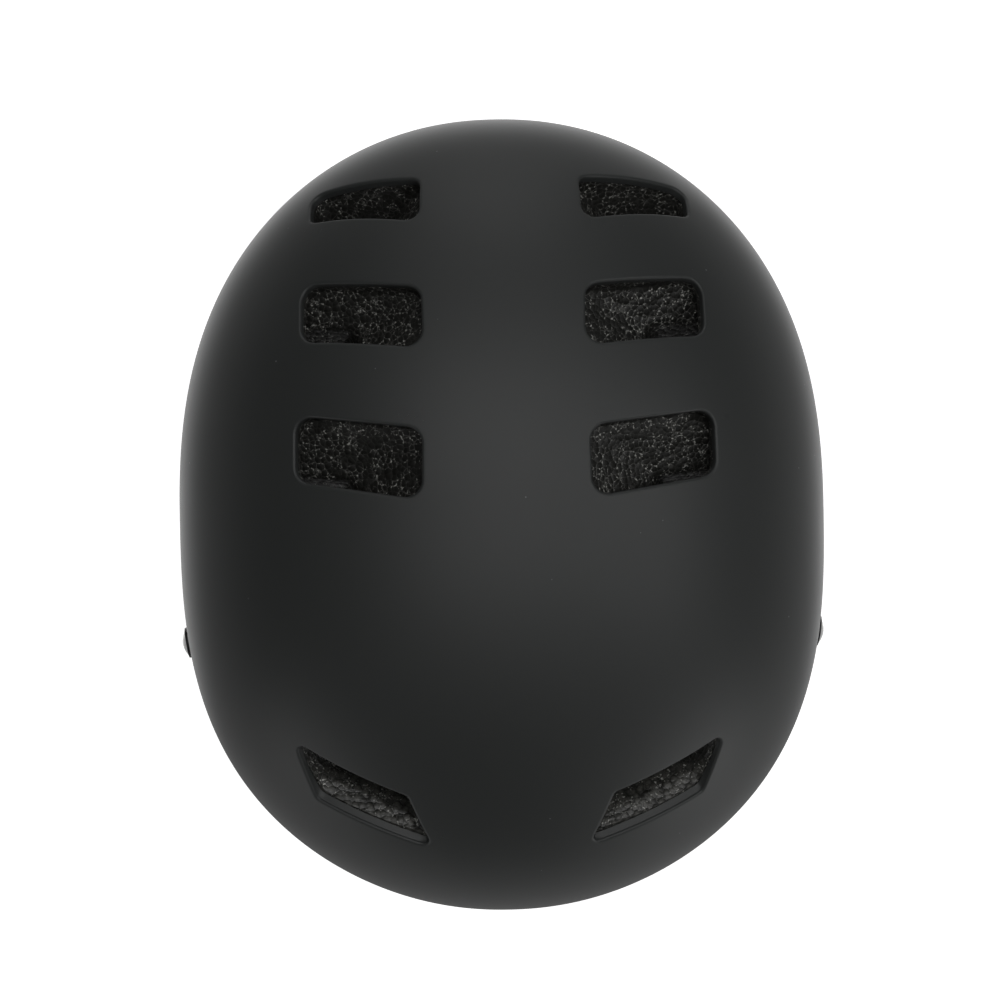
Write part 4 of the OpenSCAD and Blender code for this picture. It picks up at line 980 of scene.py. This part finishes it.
start, off = buckle["start"], layerOffset
chinWebbing("left_chin_webbing", np.concatenate([
    [inDivider(0, start, off), inDivider(0, buckle["loop"], off)],
    roundBar(buckle["socketBar"], *buckle["leftWrap"]),
    [inDivider(0, buckle["loop"], -off), inDivider(0, start, -off)]]), "root")
keeper, tailEnd = buckle["keeper"], buckle["tail"]
leave, steer, arrive, enter = buckle["hang"]
hang = bezier([onBuckle(keeper + leave, -off), onBuckle(keeper + steer, -off),
               inDivider(0, arrive, 0) * mirrorX, inDivider(0, enter, 0) * mirrorX],
              np.linspace(0, 1, 60)[1:])
straight = (tailEnd, tailEnd + 4, keeper, keeper + leave / 2, keeper + leave)
main = np.concatenate([[onBuckle(x, -off) for x in straight], hang,
                       [inDivider(0, start, 0) * mirrorX]])
tail = (main + 2 * off * squareTo(main))[2:2 + buckle["tailPoints"]]
tail = np.concatenate([[onBuckle(tailEnd, off)], tail])
rightChin = chinWebbing("right_chin_webbing", np.concatenate([
    tail[::-1], roundBar(buckle["plugBar"], buckle["dip"] - 90, buckle["dip"] + 90), main]), None)
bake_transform(rightChin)
print("webbing")


# Fit bands from the racks round to the temple anchors. lead and ease: how far the bend runs
# straight on from the rack and from the wall
band = {"wide": 12, "thick": 1.6, "section": (28, 12.0, 3.0), "from": 106, "low": -112,
        "anchor": (74, -86), "short": 3, "thinning": 11, "inset": 3.5, "dial": (92, -136),
        "deep": 3.8, "rack": (46.6, 9.125), "lead": 16, "ease": 22, "blend": (20, 6),
        "ribs": {"pitch": 2.4, "edge": (3.2, 3.8), "height": 0.3}}


def innerPoint(a, z):
    # the liner's inner wall, which thins towards the rim
    h = dome["equator"]
    v = np.clip((h - z) / (h - rimHeight(a) - 8), 0, 1)
    return layerPoint(a, z, layers["cavity"], band["thinning"] * v * v)


def fitBand(side, rackSide, flip):
    b = band
    start = np.array([b["rack"][0], b["dial"][0] + b["deep"],
                      b["dial"][1] + rackSide * b["rack"][1]])
    t = np.linspace(0, 1, 60)
    a = np.radians(b["from"] + (b["anchor"][0] - b["short"] - b["from"]) * t)
    z = b["low"] + (b["anchor"][1] - b["low"]) * ease(t, 0, 1)
    wallNormal = normalOf(innerPoint, a, z)
    wall = innerPoint(a, z) - b["inset"] * wallNormal
    s = np.linspace(0, 1, 40)[:-1]
    bend = bezier([start, start + [b["lead"], 0, 0],
                   wall[0] + b["ease"] * unit(wall[0] - wall[1]), wall[0]], s)
    flatWay = unit(wallNormal[0] * [1, 1, 0])
    bendNormal = unit(np.array([0, 1, 0]) * (1 - s[:, None]) + flatWay * s[:, None])
    path, normals = evenly(np.concatenate([bend, wall]), strap["step"],
                           np.concatenate([bendNormal, wallNormal]))
    sides = mirrored(flip)
    mesh = ribbonMesh(rounded(path, 3) * sides, normals * sides, b["wide"], b["thick"],
                      *b["section"])
    piece = addPiece(side + "_fit_band", mesh, bandNylon, "moulding", None, 60)
    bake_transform(piece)


def bandFinish():
    # moulded strip with a raised row of fine ribs between smooth edges
    f = mouldedFinish("bandNylon", (0.017, 0.0175, 0.018), 0.42)
    along, across = alongStrap(f)
    ribs = band["ribs"]
    middle = 1 - across.maths("ABSOLUTE").between(*ribs["edge"])
    wave = ((along * (2 * math.pi / ribs["pitch"])).maths("SINE") + 1) * 0.5
    return f.set(Normal=f.bump(wave.between(0.3, 0.7) * middle, ribs["height"],
                               f.bump(f.noise(0.35, 3), 0.02)))


bandNylon = bandFinish()
fitBand("left", 1, 1)
fitBand("right", -1, -1)
print("fit bands")


# Comfort pads, each a function of p along it and q across it, both -1 to 1
padBuild = {"gap": 2.05, "edge": 0.35, "cells": (88, 26), "crowding": 1.25, "wall": 3,
            "corner": (0.14, 5, 0.25), "seam": 1.1, "frames": 20, "start": 0.85, "cap": 1.3,
            "sewn": 0.6, "binding": 0.8, "stitch": (0.95, 0.3, 0.22), "inset": 2}
clothSettings = {"vertex_group_mass": "held", "mass": 0.00004, "quality": 6,
                 "use_pressure": True, "uniform_pressure_force": 4.0, "shrink_min": -0.07,
                 "tension_stiffness": 1.0, "compression_stiffness": 1.0,
                 "shear_stiffness": 1.0, "bending_stiffness": 0.02}
# place on the wall as an angle and a height, or on the cradle; half length and half width there
pads = {
    "brow_pad": {"middle": (0, -44), "half": (44, 18), "thick": 8, "channels": (-0.5, 0, 0.5),
                 "fill": 0.7},
    "left_side_pad": {"middle": (92, -56), "half": (20, 20), "thick": 6},
    "right_side_pad": {"middle": (-92, -56), "half": (20, 20), "thick": 6},
    "rear_pad": {"middle": (180, -58), "half": (27, 16), "thick": 7},
    "crown_pad": {"half": (52, 17), "thick": 8, "channels": (-0.35, 0.35), "fill": 0.7},
    "nape_pad": {"half": (28, 9), "thick": 4, "gap": 0.2, "at": (0, 92, -136), "fill": 0.5}}


def padPoint(pad, p, q, deep):
    # on the wall, under the crown or on the cradle; deep is measured towards the head
    wide, high = pad["half"]
    least, power, root = padBuild["corner"]  # the ends narrow to this share, in round corners
    q = q * (least + (1 - least) * np.maximum(1 - abs(p) ** power, 0) ** root)
    back = layers["cavity"] - padBuild["gap"]
    if "middle" in pad:
        a, z = np.radians(pad["middle"][0] + p * wide), pad["middle"][1] + q * high
        return layerPoint(a, z, back) - normalOf(layerPoint, a, z, back) * deep[..., None]
    if "at" in pad:
        return np.stack([p * wide, -pad["gap"] - deep, -q * high], -1) + pad["at"]
    return np.stack([q * high, p * wide, domeHeight(q * high, p * wide, back) - deep], -1)


def padSheet(node, pad, start):
    # a closed sheet: the face comes first, row by row, then the back and the side wall
    b = padBuild
    n, m = b["cells"]
    # sines crowd the rows and columns towards the edges
    p, q = (np.sin(np.linspace(-1, 1, k + 1) * b["crowding"]) / math.sin(b["crowding"])
            for k in (n, m))
    rows = [int(abs(p - c).argmin()) for c in pad.get("channels", (0,))]
    p, q = np.meshgrid(p, q, indexing="ij")
    crown = b["edge"] + (1 - b["edge"]) * (np.maximum(1 - p ** 6, 0) ** 0.5
                                           * np.maximum(1 - q ** 4, 0) ** 0.5)
    seam = sum(np.exp(-((np.arange(n + 1) - r) / b["seam"]) ** 2) for r in rows)[:, None]
    deep = (pad["thick"] - pad.get("gap", b["gap"])) * crown * start * (1 - (1 - b["sewn"]) * seam)
    face, back = (padPoint(pad, p, q, d).reshape(-1, 3) for d in (deep, 0 * p))
    edge = np.concatenate([np.arange(m), m + (m + 1) * np.arange(n),
                           (m + 1) * n + m - np.arange(m), (m + 1) * (n - np.arange(n))])
    t = (np.arange(1, b["wall"]) / b["wall"])[:, None, None]
    wall = (back[edge] * (1 - t) + face[edge] * t).reshape(-1, 3)
    count, size = len(edge), (n + 1) * (m + 1)
    ring = [size + edge] + [2 * size + k * count + np.arange(count) for k in range(b["wall"] - 1)]
    ring = np.array(ring + [edge])
    after = np.roll(ring, -1, 1)
    sides = np.stack([ring[:-1], ring[1:], after[1:], after[:-1]], -1)
    held = np.zeros(2 * size + len(wall), bool)
    held[size:2 * size] = True
    held[(np.array(rows)[:, None] * (m + 1) + np.arange(m + 1)).ravel()] = True
    cells = gridFaces(n + 1, m + 1)
    faces = [cells, size + cells[:, ::-1], sides.reshape(-1, 4)]
    if node != "crown_pad":  # the other grids run the other way round
        faces = [f[:, ::-1] for f in faces]
    return arrayMesh(np.concatenate([face, back, wall]), faces), held, rows, edge


def coordinates(mesh):
    points = np.empty(len(mesh.vertices) * 3, np.float32)
    mesh.vertices.foreach_get("co", points)
    return points.reshape(-1, 3)


def blownOut(mesh, held):
    # the sheet as cloth under pressure, its back and channels held, no point past the cap
    b = padBuild
    piece = addObject("cloth", mesh.copy())
    piece.vertex_groups.new(name="held").add(np.nonzero(held)[0].tolist(), 1.0, "REPLACE")
    cloth = piece.modifiers.new("cloth", "CLOTH")
    for key, value in clothSettings.items():
        setattr(cloth.settings, key, value)
    cloth.settings.effector_weights.gravity = 0
    cloth.collision_settings.use_collision = False
    cloth.point_cache.frame_start, cloth.point_cache.frame_end = 1, b["frames"]
    for moment in range(1, b["frames"] + 1):
        bpy.context.scene.frame_set(moment)
    done = piece.evaluated_get(bpy.context.evaluated_depsgraph_get()).data
    start = coordinates(mesh)
    step = coordinates(done) - start
    far = np.linalg.norm(step, axis=1, keepdims=True)
    step *= np.minimum(1, b["cap"] * mm / np.maximum(far, 1e-9))
    mesh.vertices.foreach_set("co", (start + step).ravel())
    mesh.update()
    bpy.context.scene.frame_set(1)
    bpy.data.objects.remove(piece)


def bindingTube(line, up):
    # a closed tube along the rim of a pad's face
    for turn in range(2):
        line = (np.roll(line, 1, 0) + 2 * line + np.roll(line, -1, 0)) / 4
    side = unit(np.cross(np.roll(line, -1, 0) - np.roll(line, 1, 0), up))
    t = np.arange(8)[None, :, None] * np.pi / 4
    ring = side[:, None] * np.cos(t) + up[:, None] * np.sin(t)
    faces = gridFaces(len(line), 8, wrapRows=True, wrapColumns=True)
    return (line[:, None] + padBuild["binding"] * ring).reshape(-1, 3), [faces]


def stitchBeads(start, end, up):
    # a small ellipsoid lying between each pair of points
    long, wide, high = padBuild["stitch"]
    u, v = np.meshgrid(np.arange(8) * np.pi / 4, np.linspace(-1.2, 1.2, 5))
    ball = np.stack([np.sin(v), np.cos(v) * np.cos(u), np.cos(v) * np.sin(u)], -1).reshape(-1, 3)
    ball = np.concatenate([ball, [[-1, 0, 0], [1, 0, 0]]]) * (long, wide, high)
    along = unit(end - start)
    across = unit(np.cross(up, along))
    frames = np.stack([along, across, np.cross(along, across)], 1)
    points = ((start + end) / 2)[:, None] + ball @ frames
    j, k = np.arange(8), (np.arange(8) + 1) % 8
    quads = gridFaces(5, 8, wrapColumns=True)[:, ::-1]
    caps = [np.stack([0 * j + 40, k, j], -1), np.stack([0 * j + 41, 32 + j, 32 + k], -1)]
    count = len(ball) * np.arange(len(points))[:, None, None]
    return points.reshape(-1, 3), [(f[None] + count).reshape(-1, f.shape[1])
                                   for f in (quads, *caps)]


def addPads():
    knit = Finish("brushedKnit", (0.014, 0.014, 0.0155), 0.92, Sheen_Weight=0.3,
                  Sheen_Roughness=0.5)
    nap, loops = knit.noise(0.35, 3, 0.7), knit.cells(0.8)
    worn = knit.noise(7, 3).between(0.3, 0.7)
    knit.set(Base_Color=knit.mix(worn, (0.011, 0.011, 0.0125), (0.021, 0.021, 0.023)),
             Normal=knit.bump(loops, 0.12, knit.bump(nap, 0.1)))
    tape = Finish("bindingTape", (0.01, 0.01, 0.011), 0.7)
    tape.set(Normal=tape.bump(tape.noise(0.4, 2), 0.08))
    thread = Finish("padThread", (0.07, 0.07, 0.074), 0.6)
    thread.set(Normal=thread.bump(thread.noise(0.2, 2), 0.05))
    n, m = padBuild["cells"]
    tubes, beads = [], []
    for node, pad in pads.items():
        mesh, held, rows, edge = padSheet(node, pad, padBuild["start"])
        blownOut(mesh, held)
        points = coordinates(mesh).astype(float) / mm
        face, back = points[:2 * (n + 1) * (m + 1)].reshape(2, n + 1, m + 1, 3)
        up = unit(face - back)
        tubes.append(bindingTube(face.reshape(-1, 3)[edge], up.reshape(-1, 3)[edge]))
        i, j, k = np.arange(3, n - 3, 2), np.arange(2, m - 2, 2), padBuild["inset"]
        lines = [(face[r, j], face[r, j + 1], up[r, j]) for r in rows]
        lines += [(face[i, c], face[i + 1, c], up[i, c]) for c in (k, m - k)]
        beads.append(stitchBeads(*(np.concatenate(part) for part in zip(*lines))))
        piece = addPiece(node, mesh, knit, "pad_fabric", "root", 180)
        finer = piece.modifiers.new("finer", "SUBSURF")
        finer.levels = finer.render_levels = 1
        print("pad", node)
    for name, finish, parts in (("padBindings", tape, tubes), ("padStitches", thread, beads)):
        points, faces = zip(*parts)
        starts = np.cumsum([0] + [len(part) for part in points])
        faces = [f + base for part, base in zip(faces, starts) for f in part]
        addPiece(None, arrayMesh(np.concatenate(points), faces), finish, "pad_fabric", name=name)


addPads()


# Camera, light and floor. view: turn and tilt in degrees, shift across the line of sight
view = {"lens": 135, "distance": 1300, "turn": 1.05, "tilt": 1.3, "aim": (0, 0, -50),
        "shift": (-0.52, 4.23)}


def addCamera():
    t, y = math.radians(view["turn"]), math.radians(view["tilt"])
    turn = np.array([[math.cos(t), -math.sin(t), 0], [math.sin(t), math.cos(t), 0], [0, 0, 1]])
    tilt = np.array([[math.cos(y), 0, math.sin(y)], [0, 1, 0], [-math.sin(y), 0, math.cos(y)]])
    r = turn @ tilt
    spot = np.array(view["aim"]) + r.T @ np.array([*view["shift"], view["distance"]])
    camera = addObject("camera", bpy.data.cameras.new("camera"))
    camera.matrix_world = Matrix.Translation(spot * mm) @ Matrix(r.T.tolist()).to_4x4()
    camera.data.lens = view["lens"]
    camera.data.clip_start, camera.data.clip_end = 0.05, 20
    bpy.context.scene.camera = camera


# Soft boxes: azimuth from the front to the right, elevation and how bright the face is, where
# 1 is white
boxes = {"frontRight": (45, 8, 2.25), "frontLeft": (-45, 8, 1.4), "backLow": (180, 8, 0.95),
         "back": (180, 30, 1.0), "right": (90, 55, 2.05), "behind": (180, 75, 1.95),
         "top": (0, 90, 1.3)}
# Boxes in metres; in reflections the paper shines in a ring of ellipses, as shares of the two
# half lengths, behind dimFront; the floor lies gap below the object
studio = {"box": 0.6, "away": 1.3, "sky": 0.02, "paper": 0.8, "paperShine": 1.7,
          "dimFront": (-0.14, -0.05), "ellipse": (0.111, 0.136), "ring": (0.95, 1.15, 2.0, 3.2),
          "dim": 0.12, "gap": 16, "reach": 6000}


def addLights():
    centre = np.array([0, 0, -0.05])
    for name, (azimuth, elevation, glow) in boxes.items():
        a, e = math.radians(azimuth), math.radians(elevation)
        back = np.array([math.sin(a) * math.cos(e), -math.cos(a) * math.cos(e), math.sin(e)])
        side = np.array([math.cos(a), math.sin(a), 0])
        lamp = bpy.data.lights.new(name, "AREA")
        lamp.shape = "RECTANGLE"
        lamp.size = lamp.size_y = studio["box"]
        lamp.energy = glow * math.pi * studio["box"] ** 2
        holder = addObject(name + "Box", lamp)
        turn = np.stack([side, np.cross(back, side), back], -1)
        holder.matrix_world = (Matrix.Translation(centre + studio["away"] * back)
                               @ Matrix(turn.tolist()).to_4x4())
    world = bpy.data.worlds.new("studio")
    bpy.context.scene.world = world
    world.use_nodes = True
    w = Nodes(world.node_tree)
    w.fill(w.tree.nodes["Background"].inputs, {"Color": (studio["sky"],) * 3 + (1,)})
    seen = w.node("ShaderNodeMath", {"operation": "MAXIMUM"},
                  (w.ray("Camera"), w.ray("Transmission")))
    sky = Wire(w, w.tree.nodes["Background"].outputs[0])
    white = w.node("ShaderNodeBackground", None, {"Color": (1, 1, 1, 1)})
    w.fill(w.tree.nodes["World Output"].inputs,
           [w.node("ShaderNodeMixShader", None, (seen, sky, white))])


def addFloor():
    f = Finish("floorPaper", (studio["paper"],) * 3, 0.9)
    camera, glossy, through = (f.ray(kind) for kind in ("Camera", "Glossy", "Transmission"))
    # in reflections the paper is bright in a ring round the sides and back, and dim elsewhere
    start, rise, fall, end = studio["ring"]
    x, y = studio["ellipse"]
    rho = f.node("ShaderNodeVectorMath", {"operation": "LENGTH"},
                 [f.place((1 / x, 1 / y, 0))], 1)
    back = f.axis(f.place(), 1).between(*studio["dimFront"])
    ring = rho.between(start, rise) * (1 - rho.between(fall, end)) * back
    f.set(Emission_Color=f.mix((1 - ring) * glossy, (1, 1, 1), (studio["dim"],) * 3),
          Emission_Strength=camera + through + glossy * studio["paperShine"])
    r, z = studio["reach"], cadBox[0][2] / mm - studio["gap"]
    points = np.array([[-r, -r, z], [r, -r, z], [r, r, z], [-r, r, z]], float)
    floor = addPiece(None, arrayMesh(points, [np.array([[0, 1, 2, 3]])]), f, body=None,
                     name="floor")


addCamera()
addLights()
addFloor()
scene = bpy.context.scene
scene.view_settings.view_transform = "Standard"
